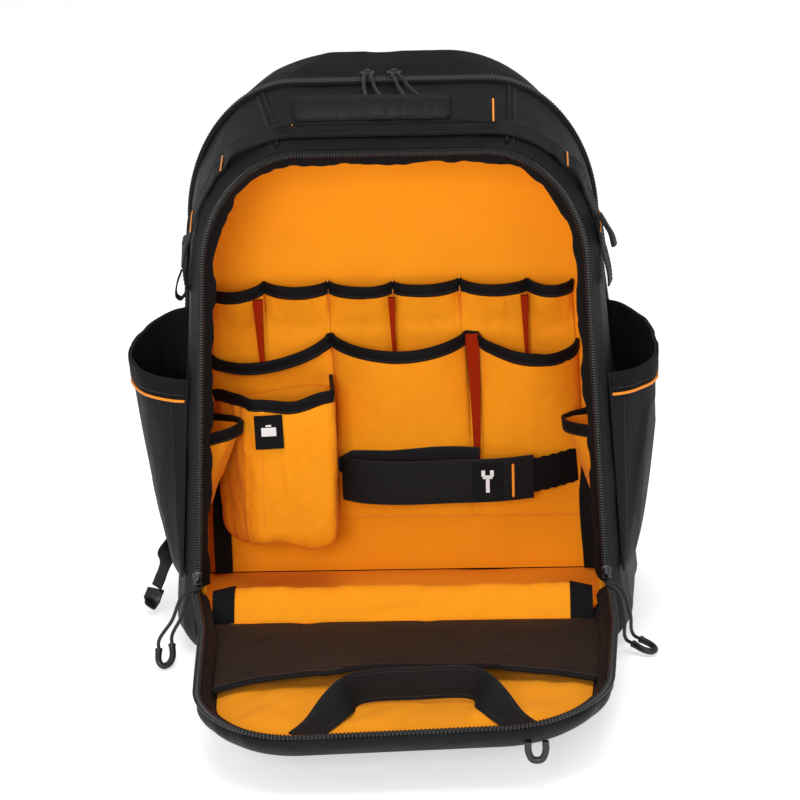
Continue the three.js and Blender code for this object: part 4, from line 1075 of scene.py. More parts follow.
def chain(path: Grid, across: Grid, width: float, height: float, pitch: float, sides: int = 8) -> Grid:
    """Coil of a zip: an oval section that narrows and dips between its teeth.

    Args:
        path: Middle line.
        across: Direction of the width at each point.
        width: Width over the teeth.
        height: Height over the teeth.
        pitch: Distance from tooth to tooth.
        sides: Points round the section.

    Returns:
        Rings, ready for a tube.
    """
    total = lengths(path)[-1]
    teeth = int(total / pitch)
    count = teeth * 4 + 1
    fine = even(np.concatenate([path, across], 1), count)
    turn = np.linspace(0, teeth * TAU, count)
    tooth = (0.5 + 0.5 * np.cos(turn)) ** 0.7
    swell = np.stack([mix(0.74, 1.0, tooth), mix(0.5, 1.0, tooth)], 1)
    return swept(fine[:, :3], fine[:, 3:], rounded_section(width, height, sides, 2.6), swell)


@dataclass
class Shells:
    """Outer shells, lining, floor and opening of the bag."""

    form: BodyForm = FORM
    tape_wall: float = 2.0
    seams: tuple = ((-101.0, -86.0), (94.0, 87.0))
    tape_profile: tuple = ((0.0, 0.0), (-0.3, 1.5), (-0.2, 4.0), (1.2, 6.2), (3.4, 8.6), (5.6, 11.0),
                           (7.3, 13.2), (8.6, 15.0), (9.6, 16.0), (10.4, 15.4), (10.2, 13.6), (8.0, 11.6),
                           (5.4, 8.6), (3.2, 5.6), (2.0, 3.0), (2.0, 0.0))
    zip_foot: float = 70.0
    coil_width: float = 6.0
    coil_height: float = 3.5
    pitch: float = 2.1
    folds: Folds = field(default_factory=lambda: Folds(3, 62.0, 0.9, across=1.0, along=1.7, crease=0.35))

    def body(self) -> Skin:
        """Shell from the opening to the rear zip, with panel seams over the crown and soft folds."""
        y = np.linspace(self.form.front, self.form.zip, 50)
        outer = self.form.ring(y)
        share = shares(len(y))[:, None]
        distance = ring_distance(outer)
        calm = np.minimum(1.0, np.minimum(share, 1 - share) * 9)
        amount = (self.folds.at(distance, y[:, None]) - 0.5) * calm
        amount = amount + Folds(8, 26.0, 0.35, along=2.6, crease=0.2).at(distance, y[:, None]) * calm
        x, z = outer[..., 0], outer[..., 2]
        for rear, front in self.seams:
            off = np.abs(x - mix(front, rear, share))
            high = (z > 330) * calm
            amount = amount + high * (0.7 * bump_at(off, 3.4, 1.7) - 1.3 * bump_at(off, 0.0, 1.3))
        inner = self.form.ring(y, SHELL_WALL - 0.2)
        wear = 0.35 * bump_at(share, 0.0, 0.06) + 0 * distance
        # no fold reaches inward as far as the shell's inner face
        return Skin().sheet(pushed(outer, np.maximum(amount, -1.8)), inner, BLACK, True, wear)

    def rear(self) -> Skin:
        """Rear shell, a cup that is closed by a soft back wall."""
        y = np.concatenate([
            np.linspace(self.form.zip + CLEARANCE, 80, 22), np.linspace(82, self.form.back, 14)])

        def rings(inset: float) -> Grid:
            """Rings of the side, then of the back wall, shrunk towards its middle."""
            depth = np.minimum(y, self.form.back - inset)
            side = self.form.ring(depth, inset)
            share = np.linspace(0.96, 0.03, 18)[:, None, None]
            middle = np.array([0.0, self.form.back - inset, self.form.height / 2])
            back = mix(middle, side[-1][None], share)
            return np.concatenate([side, back])

        outer = rings(0.0)
        distance = ring_distance(outer[:len(y)])
        rows = np.arange(len(outer))[:, None]
        calm = np.clip(rows / 6, 0, 1) * np.clip((len(y) - rows) / 6, 0, 1)
        amount = (self.folds.at(distance + 400, rows * 3.0) - 0.3) * calm
        return Skin().cup(pushed(outer, np.maximum(amount, -1.8)), rings(SHELL_WALL - 0.2), BLACK)

    def rear_zip(self) -> Skin:
        """Zip tapes over the crown with a closed coil between, and a stitch line on each tape."""
        skin = Skin()
        foot = self.zip_foot
        for sign in (-1, 1):
            rows = np.array([0.4, 1.6, 4.5, 8.0, 8.0, 4.5, 1.6, 0.4])
            lift = np.array([0.5, 1.5, 1.25, 0.7, -0.25, -0.2, -0.2, -0.2]) + CLEARANCE
            loop = self.form.arch(self.form.zip + sign * rows, -lift, foot)
            skin.tube(loop.transpose(1, 0, 2), BINDING)
            line = self.form.arch(np.array([self.form.zip + sign * 5.6]), -1.75, foot)[0]
            out = line - self.form.arch(np.array([self.form.zip + sign * 5.6]), 10.0, foot)[0]
            skin.stitches(line, out, BLACK_THREAD, 3.0, 0.3)
        lines = self.form.arch(np.array([self.form.zip - 0.5, self.form.zip + 0.5]), -2.1, foot)
        across = unit(lines[1] - lines[0])
        for side in (-1, 1):
            path = lines.mean(axis=0) + across * side * 1.6
            skin.tube(chain(path, across, 3.6, 2.6, 2.6, 6), COIL)
        return skin

    def lining(self) -> Skin:
        """Lining of the side walls, gathered where it is sewn to the tape."""
        y = np.concatenate([np.linspace(-107, -80, 18), np.linspace(-77, DIVIDER, 21)])
        inset = np.interp(y, (-107, -95, -80, 15), (13.0, 7.0, LINING_INSET, LINING_INSET))
        grid = self.form.ring(y, inset)
        distance = ring_distance(grid)
        near = bump_at(y[:, None], -104.0, 12.0)
        gathers = np.sin(distance / 5.2 + 2.2 * np.sin(distance / 23)) * np.sin(distance / 41 + 1) ** 2
        amount = 0.9 * near * gathers + Folds(21, 48.0, 1.1, along=2.0, crease=0.3).at(distance, y[:, None])
        amount = np.minimum(amount - 1.0, -0.1) * np.clip((y[:, None] + 107) / 5, 0.15, 1)
        front = pushed(grid, amount)
        back = self.form.ring(y, inset + 1.5)
        return Skin().sheet(front, pushed(back, amount), ORANGE, True)

    def tape(self) -> Skin:
        """Folded tape round the opening, whose inner edge waves where it is sewn to the lining."""
        front = self.form.front - CLEARANCE - self.tape_wall
        behind, inset = np.array(self.tape_profile).T
        y = behind + front
        flat = self.form.arch(y, inset, OPENING_FOOT)
        inward = self.form.arch(y, inset + 1.0, OPENING_FOOT) - flat
        distance = ring_distance(flat)
        wave = Folds(31, 34.0, 1.5, crease=0.1, count=7).at(distance, 0.0)
        weight = np.clip((inset - 6) / 9, 0, 1)[:, None]
        ripple = Folds(33, 13.0, 0.5, crease=0.2, count=9).at(distance, y[:, None])
        moved = flat + inward * (weight * (wave + ripple))[..., None]
        moved[..., 1] += weight * (0.4 * wave - ripple)
        skin = Skin().tube(moved.transpose(1, 0, 2), BINDING, (0.5 * bump_at(np.arange(16), 8, 1.2))[None])
        line = mix(moved[2], moved[3], 0.6)
        skin.stitches(line, (0, -1, 0), BLACK_THREAD, 3.2, 0.3)
        return skin

    def body_coil(self) -> Skin:
        """Half of the front zip, round the opening."""
        y = self.form.front - 2 * CLEARANCE - self.tape_wall - self.coil_height / 2
        path, inner = self.form.arch(np.array([y, y]), np.array([3.0, 4.0]), OPENING_FOOT, 2)
        return Skin().tube(chain(path, inner - path, self.coil_width, self.coil_height, self.pitch), COIL)

    def divider(self) -> Skin:
        """Divider panel: rows from the floor to the crown, as wide as the lining leaves at each height."""
        top = float(self.form.measures(DIVIDER)[3]) - LINING_INSET - 2.0
        share = np.sin(np.linspace(0, math.pi / 2, 70))
        z = mix(FLOOR + CLEARANCE, top, share)[:, None]
        half = self.form.side(np.full_like(z, DIVIDER), z + LINING_INSET + 1.8) - LINING_INSET - 2.0
        x = half * np.linspace(-1, 1, 90)[None]
        lean = self.form.slope * z * (self.form.zip - DIVIDER) / (self.form.zip - self.form.front)
        calm = np.clip((z - 300) / 60, 0.0, 1.0)
        soft = Folds(41, 60.0, 1.5, across=1.0, along=2.4, crease=0.2).at(x, z)
        fine = Folds(43, 22.0, 0.35, along=1.8, crease=0.3).at(x, z)
        y = DIVIDER + CLEARANCE + lean - (soft * calm) - fine * calm
        front = points_at(x, y, z)
        skin = Skin().sheet(front, front + np.array([0, 2.0, 0]), ORANGE)
        return skin

    def floor(self) -> Skin:
        """Stiffened floor with a soft upper face."""
        y = np.linspace(-79, DIVIDER, 30)[:, None]
        half = self.form.side(y, FLOOR + 0 * y) - LINING_INSET - 2.0
        x = half * np.linspace(-1, 1, 60)[None]
        z = FLOOR - 0.6 + Folds(51, 55.0, 0.6).at(x, y)
        top = points_at(x, y, z)
        return Skin().sheet(top, top - np.array([0, 0, 3.0]), ORANGE)

    def hinge(self) -> Skin:
        """Panel that closes the front below the sill."""
        z = np.linspace(3.5, 28, 10)[:, None]
        half = self.form.base[0] * self.form.half_width - 5.0 - 16 * bump_at(z, 0.0, 11.0)
        x = half * np.linspace(-1, 1, 80)[None]
        y = self.form.front - CLEARANCE - 0.8 * np.sin(z / 8) + Folds(52, 40.0, 0.4).at(x, z)
        front = points_at(x, y, z)
        return Skin().sheet(front, front + np.array([0, 2.6, 0]), BLACK)

    def corners(self) -> Skin:
        """Black strips where the divider meets the side lining."""
        skin = Skin()
        for side in (-1, 1):
            z = np.linspace(30, 130, 60)
            path = points_at(side * (151.0 - 0.03 * z), 11.8 - 0.06 * (130 - z), z)
            path[:, 0] += 0.8 * np.sin(z / 17)
            skin.bar(path, (side * 0.9, -0.35, 0), (15.0, 1.8, 14), BINDING)
        return skin

    def make(self) -> None:
        """Builds the shells and the opening."""
        place(self.body(), "pack_body", ["body_shell"])
        place(self.rear(), "pack_rear", ["rear_shell"])
        place(self.rear_zip(), "rear_zip_tapes", ["rear_zip"])
        place(self.lining(), "side_lining_cloth", ["side_lining"])
        place(self.tape(), "opening_binding", ["opening_tape"])
        place(self.body_coil(), "opening_coil", ["body_zip_coil"])
        place(self.divider(), "divider_cloth", ["divider_panel"])
        place(self.floor(), "floor_cloth", ["floor_board"])
        place(self.hinge(), "hinge_cloth", ["hinge_panel"])
        place(self.corners(), "divider_corner_strips")


@dataclass
class PocketWall:
    """Pockets, battery pocket and tool strap on the divider."""

    form: BodyForm = FORM
    low: float = 73.9
    upper_top: float = 273.0
    upper_slack: float = 236.0
    upper_depth: float = 12.0
    upper_sag: float = 3.0
    lower_top: float = 231.0
    lower_sag: float = 11.0
    hem: float = 10.0
    pleats_upper: tuple = ((-114.5, -106.5), (-6.5, -1.5), (99.0, 104.5))
    pleat_foot: float = 205.0
    pleat_drop: float = 4.0
    upper_drop: tuple = ((-150, 6.0), (-105, 1.0), (-54, 1.5), (-2, 1.5), (51, 0.5), (105, 2.0), (142, 3.0))
    lower_drop: tuple = ((-153, 17.0), (-110, 12.0), (-54, 1.5), (54, 1.5), (80, 3.0), (144, 9.5))
    upper_seams: tuple = (-149.1, -105.1, -54.0, -2.4, 50.9, 105.1, 141.0)
    lower: tuple = (
        ("left", -153.0, -54.0, 12.0, 16.0), ("centre", -54.0, 54.0, 25.0, 1.3),
        ("right", 63.0, 143.1, 25.0, 1.3))

    def drop(self, table: tuple, x: Grid) -> Grid:
        """Drop of a row's top below its seams' height at places across."""
        rows = np.array(table, float)
        return np.interp(x, rows[:, 0], rows[:, 1])

    def pouch(self, left: float, right: float, face: float, top: float, slack: float, depth: float,
              sag: float, growth: float, seed: int, table: tuple) -> tuple[Grid, Grid]:
        """Front of a pocket, which leaves the wall towards its top.

        The slack is the depth times the rise above the slack's foot to a power, times the fullness.

        Args:
            left: Left seam.
            right: Right seam.
            face: Depth of the wall.
            top: Height of the hem's lower edge.
            slack: Height from which the pocket stands off.
            depth: Slack in the middle of the top.
            sag: Drop of the top in the middle.
            growth: Power of the rise.
            seed: Seed of the folds.
            table: Drop of the row's top at places across.

        Returns:
            Outer grid and inner grid.
        """
        share = shares(40)[None]
        z = np.linspace(self.low, top, 54)[:, None]
        rise = np.clip((z - slack) / (top - slack), 0, 1) ** growth
        full = fullness(share)
        x = mix(left + 0.15, right - 0.15, share) + 0 * z
        span = right - left
        edge = np.minimum(1.0, np.minimum(share, 1 - share) * span / 6.0)
        upright = Folds(seed, span * 0.7, 1.5, across=0.7, along=3.5, crease=0.3, count=6).at(x, z)
        fine = Folds(seed + 1, 24.0, 0.55, crease=0.35).at(x, z)
        pull = 1.3 * bump_at(share * span, 0, 9) + 1.3 * bump_at((1 - share) * span, 0, 9)
        puckers = pull * np.sin(z / 4.4 + 1.5 * np.sin(z / 19 + seed)) * 0.35
        # the folds lie within the slack, so that the cloth never sinks into the wall behind
        soft = np.maximum(-0.6, upright * (0.35 + 0.65 * rise) + fine + puckers)
        off = depth * rise * full + edge * (0.9 + soft)
        y = face - CLOTH_WALL - off
        raised = np.clip((z - self.low) / (top - self.low), 0, 1)
        outer = np.stack([x, y, z - sag * rise * full - self.drop(table, x) * raised], -1)
        return outer, outer + np.array([0, CLOTH_WALL * 0.8, 0])

    def hem_band(self, spans: list, face: float, top: float, sag: float, seed: int,
                 table: tuple) -> tuple[Grid, Grid]:
        """Path and slack of the binding along a row of pockets."""
        columns = []
        for left, right, depth in spans:
            share = shares(46)
            full = fullness(share)
            x = mix(left, right, share)
            height = top - self.hem / 2 - sag * full - self.drop(table, x)
            columns.append(np.stack([x, face - 1.3 - depth * full, height], 1))
        path = np.concatenate(columns)
        keep = np.concatenate([[True], np.diff(path[:, 0]) > 0.05])
        path = even(path[keep], 70 * len(spans))
        u = lengths(path)
        path[:, 1] -= Folds(seed, 30.0, 0.9, crease=0.3, count=7).at(u, 0.0) * 0.6
        path[:, 2] += Folds(seed + 1, 52.0, 0.8, crease=0.1, count=7).at(u, 0.0)
        return path, unit(points_at(0.0, 0.12 * np.sin(u / 17 + seed), 1.0))

    def bound(self, path: Grid, up: Grid, height: float = 10.0, thickness: float = 2.6,
              edge: Grid | None = None) -> Skin:
        """Binding folded over an edge, with a stitch line near its lower border.

        Args:
            path: Middle line of the binding.
            up: Direction of its height at each point.
            height: Height of the binding.
            thickness: Thickness over both faces.
            edge: Outward direction of the stitches at each point.

        Returns:
            The binding.
        """
        section = rounded_section(height, thickness, 22, 4.0)
        section[:, 1] *= 1 + 0.25 * np.tanh(section[:, 0])
        # painted highlight: the folded crest of the binding is made lighter, where light catches it
        wear = 0.55 * bump_at(section[:, 0], height / 2, 0.9)
        skin = Skin().tube(swept(path, up, section), BINDING, wear[None])
        out = np.array([0.0, -1.0, 0.0]) if edge is None else edge
        line = path - up * (height * 0.33) + out * (thickness * 0.52)
        return skin.stitches(line, out, BLACK_THREAD, 2.8, 0.26)

    def upper(self) -> None:
        """Upper row of six pockets with its binding."""
        face = DIVIDER
        for i in range(6):
            left, right = self.upper_seams[i:i + 2]
            outer, inner = self.pouch(left, right, face, self.upper_top - self.hem, self.upper_slack,
                                      self.upper_depth, self.upper_sag, 1.0, 60 + 3 * i, self.upper_drop)
            cloth = Skin().sheet(outer, inner, ORANGE)
            place(cloth, f"upper_pocket_cloth_{i + 1}", [f"upper_pocket_{i + 1}"])
        spans = [(self.upper_seams[i], self.upper_seams[i + 1], self.upper_depth) for i in range(6)]
        path, up = self.hem_band(spans, face, self.upper_top, self.upper_sag, 90, self.upper_drop)
        place(self.bound(path, up), "upper_row_binding", ["upper_binding"])

    def lower_row(self) -> None:
        """Lower row of three pockets with its binding."""
        face = DIVIDER - CLOTH_WALL - CLEARANCE
        for i, (name, left, right, depth, growth) in enumerate(self.lower):
            outer, inner = self.pouch(left, right, face, self.lower_top - self.hem, self.low, depth,
                                      self.lower_sag, growth, 100 + 4 * i, self.lower_drop)
            place(Skin().sheet(outer, inner, ORANGE), f"lower_pocket_cloth_{name}", [f"lower_pocket_{name}"])
        spans = [(left, right, depth) for _, left, right, depth, _ in self.lower]
        path, up = self.hem_band(spans, face, self.lower_top, self.lower_sag, 96, self.lower_drop)
        place(self.bound(path, up), "lower_row_binding", ["lower_binding"])

    def make(self) -> None:
        """Builds the pocket rows."""
        self.upper()
        self.lower_row()
        skin = Skin()
        line = points_at(np.linspace(-50, 140, 60), DIVIDER - 5.2, self.low + 1.5)
        skin.stitches(line, (0, -1, 0), THREAD, 3.4, 0.3)
        for x in self.upper_seams[2:5]:
            top = self.upper_top - float(self.drop(self.upper_drop, np.array(x)))
            line = points_at(x, DIVIDER - 3.4, np.linspace(top - 34, top + 2, 40))
            skin.stitches(line, (0, -1, 0), THREAD, 2.6, 0.42)
            bar_tack(skin, line[26:] + np.array([0, -0.5, 0]), (0, -1, 0), 1.3, 0.7)
        place(skin, "pocket_foot_stitches", slot="orange_cloth")
        self.pleat_shade()

    def pleat_shade(self) -> None:
        """Painted shade: dark red sheets in the pleats where neighbouring pockets turn back to the wall, and
        in the gap between the lower centre and right pockets.
        """
        skin = Skin()
        upper = DIVIDER - CLOTH_WALL - self.upper_depth
        low = self.pleat_foot
        # painted shade in the upper row's pleats
        for left, right in self.pleats_upper:
            z = np.linspace(low, self.upper_top - self.hem - self.pleat_drop, 30)[:, None]
            rise = np.clip((z - low + 40) / 90, 0.5, 1)
            x = mix((left + right) / 2, mix(left, right, shares(9)[None]), rise)
            swell = 0.4 * np.sin(np.linspace(0, math.pi, 9))[None]
            y = np.full_like(x, upper - 0.6) + 6.0 * (1 - rise) - swell
            face = points_at(x, y, z)
            skin.sheet(face, face + np.array([0, 5.0, 0]), PLEAT_SHADE)
        # painted shade in the gap between the lower centre and right pockets
        z = np.linspace(self.low + 20, self.lower_top - 4, 50)[:, None]
        rise = (z - self.low) / (self.lower_top - self.low)
        x = mix(mix(58.0, 53.0, rise), mix(60.0, 64.5, rise), shares(9)[None])
        y = DIVIDER - 2.8 - 5.0 * rise + 0 * x
        face = points_at(x, y, z)
        skin.sheet(face, face + np.array([0, 1.6, 0]), PLEAT_SHADE)
        place(skin, "pocket_pleat_painted_shade", slot="orange_cloth")


@dataclass
class BatteryPocket:
    """Box pocket with a gusset, a bound rim and a tab."""

    front_left: float = -118.06
    front_right: float = -53.0
    back_left: float = -150.96
    back_right: float = -56.02
    front: float = -45.0
    back: float = 6.7
    low: float = 66.75
    radius: float = 8.0
    hem: float = 10.0

    def outline(self, count: int = 150) -> Grid:
        """Plan of the pocket, corners rounded by quadratic turns, with even steps."""
        corners = np.array([[self.front_left, self.front], [self.front_right, self.front],
                            [self.back_right, self.back], [self.back_left, self.back]])
        points = []
        for i, corner in enumerate(corners):
            before, after = corners[i - 1], corners[(i + 1) % 4]
            start = corner + (before - corner) * self.radius / np.linalg.norm(before - corner)
            end = corner + (after - corner) * self.radius / np.linalg.norm(after - corner)
            t = shares(8)[:, None]
            points.append(mix(mix(start, corner, t), mix(corner, end, t), t))
        loop = np.concatenate([*points, points[0][:1]])
        return even(np.concatenate([loop, np.zeros((len(loop), 1))], 1), count + 1)[:-1, :2]

    def rim(self, x: Grid, y: Grid) -> Grid:
        """Height of the rim: sagging along the front, and falling back along the left gusset."""
        across = np.clip((x - self.front_left) / (self.front_right - self.front_left), 0, 1)
        back = np.clip((y - self.front) / (self.back - self.front), 0, 1)
        front = mix(191.0, 196.5, across**2) - 5.0 * np.sin(math.pi * across) ** 2
        return mix(front, mix(185.0, 197.0, np.clip((x - self.back_left) / 70, 0, 1)), back)

    def walls(self) -> Skin:
        """Cloth walls, hollowed a little between the corners, over a rounded foot."""
        plan = self.outline()
        height = np.concatenate([np.linspace(1, 0.1, 46), np.array([0.06, 0.03, 0.01, 0.0, 0.0, 0.0, 0.0])])
        width = np.concatenate([np.ones(46) * 1.0, np.array([0.985, 0.96, 0.92, 0.84, 0.6, 0.3, 0.03])])
        middle = (self.front_left + self.front_right) / 2

        def rings(inset: float) -> Grid:
            """Rings from the hem's lower edge to the foot's middle."""
            centre = np.array([(self.front_left + self.back_right) / 2, (self.front + self.back) / 2])
            offset = plan - centre
            shrunk = centre + offset * (1 - inset / 26)
            x = mix(middle, shrunk[None, :, 0], width[:, None])
            y = mix(self.back - 1.0 if inset == 0 else self.back - 3.0, shrunk[None, :, 1], width[:, None])
            y[-3:] = mix((self.front + self.back) / 2, shrunk[None, :, 1], width[-3:, None])
            top = self.rim(shrunk[None, :, 0], shrunk[None, :, 1]) - self.hem
            z = mix(self.low + inset, top, height[:, None])
            droop = 3.0 * np.sin((x - self.front_left) / 9.5) * bump_at(height[:, None], 0, 0.09)
            return np.stack([x, y, z + droop * (inset == 0)], -1)

        outer = rings(0.0)
        along = shares(len(plan))[None] * 290
        z = outer[..., 2]
        sway = Folds(131, 34.0, 1.6, across=0.8, along=2.6, crease=0.3, count=8).at(along, z)
        fine = Folds(133, 15.0, 0.5, crease=0.35).at(along, z)
        calm = np.clip(np.arange(len(height))[::-1] / 8, 0, 1)[:, None]
        amount = (sway * 0.8 + fine - 0.9) * calm
        outer = pushed(outer, np.abs(amount) * 0.4 - amount * 0.5)
        skin = Skin().cup(outer, rings(1.4), ORANGE)
        edge = outer[3:44, 8] + np.array([0.4, -0.5, 0])
        skin.stitches(edge, (-0.3, -1, 0), THREAD, 3.2, 0.25)
        return skin

    def rim_binding(self) -> Skin:
        """Binding along the front and both gussets; the wall behind has none."""
        corners = np.array([[self.back_left, self.back - 2], [self.front_left, self.front],
                            [self.front_right, self.front], [self.back_right, self.back - 2]])
        sharp = even(np.concatenate([corners, np.zeros((4, 1))], 1), 200)
        turn = np.concatenate([sharp[:1]] * 5 + [sharp] + [sharp[-1:]] * 5)
        soft = sum(turn[k:k + len(sharp)] for k in range(11)) / 11
        u = np.linspace(0, TAU, len(soft))
        wave = 0.8 * np.sin(2 * u + 0.6) + 0.4 * np.sin(5 * u)
        path = np.stack([soft[:, 0], soft[:, 1], self.rim(soft[:, 0], soft[:, 1]) - self.hem / 2 + wave], -1)
        up = unit(points_at(0.0, 0.08 * np.sin(3 * u), 1.0))
        out = unit(points_at(soft[:, 0] + 95, soft[:, 1] + 19, 0.0))
        return PocketWall().bound(path, up, self.hem, 2.8, out)

    def tab(self) -> Skin:
        """Woven tab folded from the rim, with a plain battery cell as its mark."""
        skin = Skin()
        x = np.linspace(-116.0, -93.5, 16)
        z = np.linspace(177.5, 150.5, 18)[:, None]
        y = self.front - 3.4 - 0.6 * np.sin((x[None] + 116) / 7) - 1.4 * bump_at(z, 150, 6)
        skew = (177.5 - z) * 0.03
        front = points_at(x[None] + skew, y, z + (x[None] + 105) * 0.04)
        skin.sheet(front, front + np.array([0, 1.0, 0]), BINDING)
        for spot in BATTERY_MARK:
            skin.sheet(*tab_mark(front, spot), MARK)
        return skin

    def make(self) -> None:
        """Builds the pocket."""
        place(self.walls(), "battery_pocket_cloth", ["battery_pocket"])
        place(self.rim_binding(), "battery_rim_binding", ["battery_binding"])
        place(self.tab(), "battery_tab", slot="black_binding")


BATTERY_MARK = ((0.24, 0.76, 0.36, 0.62), (0.4, 0.6, 0.28, 0.33))
SPANNER_MARK = (
    (0.44, 0.56, 0.38, 0.78), (0.3, 0.42, 0.2, 0.36), (0.58, 0.7, 0.2, 0.36), (0.34, 0.66, 0.33, 0.42))


def tab_mark(front: Grid, spot: Sequence[float]) -> tuple[Grid, Grid]:
    """Small raised patch on a tab, between shares of its width and height.

    Args:
        front: Face of the tab.
        spot: Left, right, top and bottom shares.

    Returns:
        Outer grid and inner grid.
    """
    left, right, top, bottom = spot
    rows = mix(top, bottom, shares(10)) * (front.shape[0] - 1)
    columns = mix(left, right, shares(10)) * (front.shape[1] - 1)
    r0 = np.clip(rows.astype(int), 0, front.shape[0] - 2)
    c0 = np.clip(columns.astype(int), 0, front.shape[1] - 2)
    fr = (rows - r0)[:, None, None]
    fc = (columns - c0)[None, :, None]
    low = mix(front[r0][:, c0], front[r0][:, c0 + 1], fc)
    high = mix(front[r0 + 1][:, c0], front[r0 + 1][:, c0 + 1], fc)
    face = mix(low, high, fr)
    return face - np.array([0, 0.35, 0]), face - np.array([0, 0.02, 0])


@dataclass
class ToolStrap:
    """Webbing strap across the lower pockets, with a tab, a bar tack and an elastic."""

    middle: float = 113.03
    width: float = 36.0
    left: float = -49.07
    right: float = 103.96
    back: float = 3.3
    depth: float = 24.3
    elastic_end: float = 138.93
    stations: tuple = ((0.712, 0), (0.32, 0), (0.092, 0.041), (0, 0.288), (0.033, 0.576), (0.229, 1),
                       (0.582, 1), (0.843, 0.959), (1, 0.671))

    def strap(self) -> Skin:
        """Back layer, fold and front layer of the strap."""
        rows = np.array(self.stations)
        points = np.stack([mix(self.left, self.right, rows[:, 0]), self.back - self.depth * rows[:, 1],
                           np.full(len(rows), self.middle)], 1)
        path = spline(points, 240)
        u = lengths(path)
        path[:, 1] += 0.5 * np.sin(u / 21)
        wave = np.where(u < 105, 3.0 + 1.2 * np.sin(u / 16), 0.8 * np.sin(u / 34))
        path[:, 2] += wave * np.clip(np.abs(u - 120) / 12, 0, 1)
        section = rounded_section(self.width, WEB_WALL, 40, 7.0)
        wear = 0.5 * bump_at(np.abs(section[:, 0]), 18, 0.8)
        return Skin().tube(swept(path, (0, 0, 1), section), WEBBING, wear[None])

    def elastic(self) -> Skin:
        """Elastic from the strap's end back to the divider."""
        seat = DIVIDER - 2 * CLOTH_WALL - CLEARANCE - 3.0
        rows = ((-0.229, 0.703, 0.0), (0.4, 0.439, 0.5), (1.0, 0.0, 1.0))
        front = self.back - self.depth
        points = [(mix(self.right, self.elastic_end, along), mix(seat, front, off), self.middle + 4 * rise)
                  for along, off, rise in rows]
        path = spline(points, 50)
        u = lengths(path)
        section = rounded_section(28.0, WEB_WALL, 30, 6.0)
        return Skin().tube(swept(path, (0, 0, 1), section, (1 + 0.03 * np.sin(u / 1.3))[:, None]), BINDING)

    def tab(self) -> Skin:
        """Woven tab on the strap with a plain spanner as its mark."""
        x = np.linspace(55.0, 79.5, 18)
        z = np.linspace(128.6, 97.0, 20)[:, None]
        y = self.back - self.depth - 1.9 - 0.4 * np.sin((x[None] - 55) / 8) - 0.9 * bump_at(z, 97, 5)
        front = points_at(x[None], y, z)
        skin = Skin().sheet(front, front + np.array([0, 1.0, 0]), BINDING)
        for spot in SPANNER_MARK:
            skin.sheet(*tab_mark(front, spot), MARK)
        return skin

    def tack(self) -> Skin:
        """Orange bar tack across the strap."""
        line = points_at(87.6, self.back - self.depth * 0.97 - 1.25, np.linspace(99, 127, 24))
        return bar_tack(Skin(), line, (0, -1, 0))

    def make(self) -> None:
        """Builds the strap."""
        place(self.strap(), "tool_strap_webbing", ["tool_strap"])
        place(self.elastic(), "tool_strap_elastic", ["strap_elastic"])
        place(self.tab(), "tool_strap_tab", slot="black_binding")
        place(self.tack(), "tool_strap_tack", slot="orange_cloth")


def bar_tack(skin: Skin, line: Grid, normal: Sequence[float], width: float = 2.2,
             height: float = 0.9) -> Skin:
    """Adds a bar tack: a flat oval bar ribbed by its thread.

    Args:
        skin: Skin that takes the tack.
        line: Middle line.
        normal: Outward direction.
        width: Width of the bar.
        height: Height of the bar.

    Returns:
        The skin.
    """
    fine = even(np.asarray(line, float), 64)
    across = np.cross(tangents(fine), np.asarray(normal, float))
    rib = 0.86 + 0.14 * np.abs(np.sin(np.linspace(0, 22 * math.pi, len(fine))))
    rib *= np.clip(np.minimum(np.arange(64), np.arange(63, -1, -1)) / 3 + 0.3, 0, 1)
    rings = swept(fine, across, rounded_section(width, height, 10, 2.4), rib[:, None])
    return skin.tube(rings, THREAD)


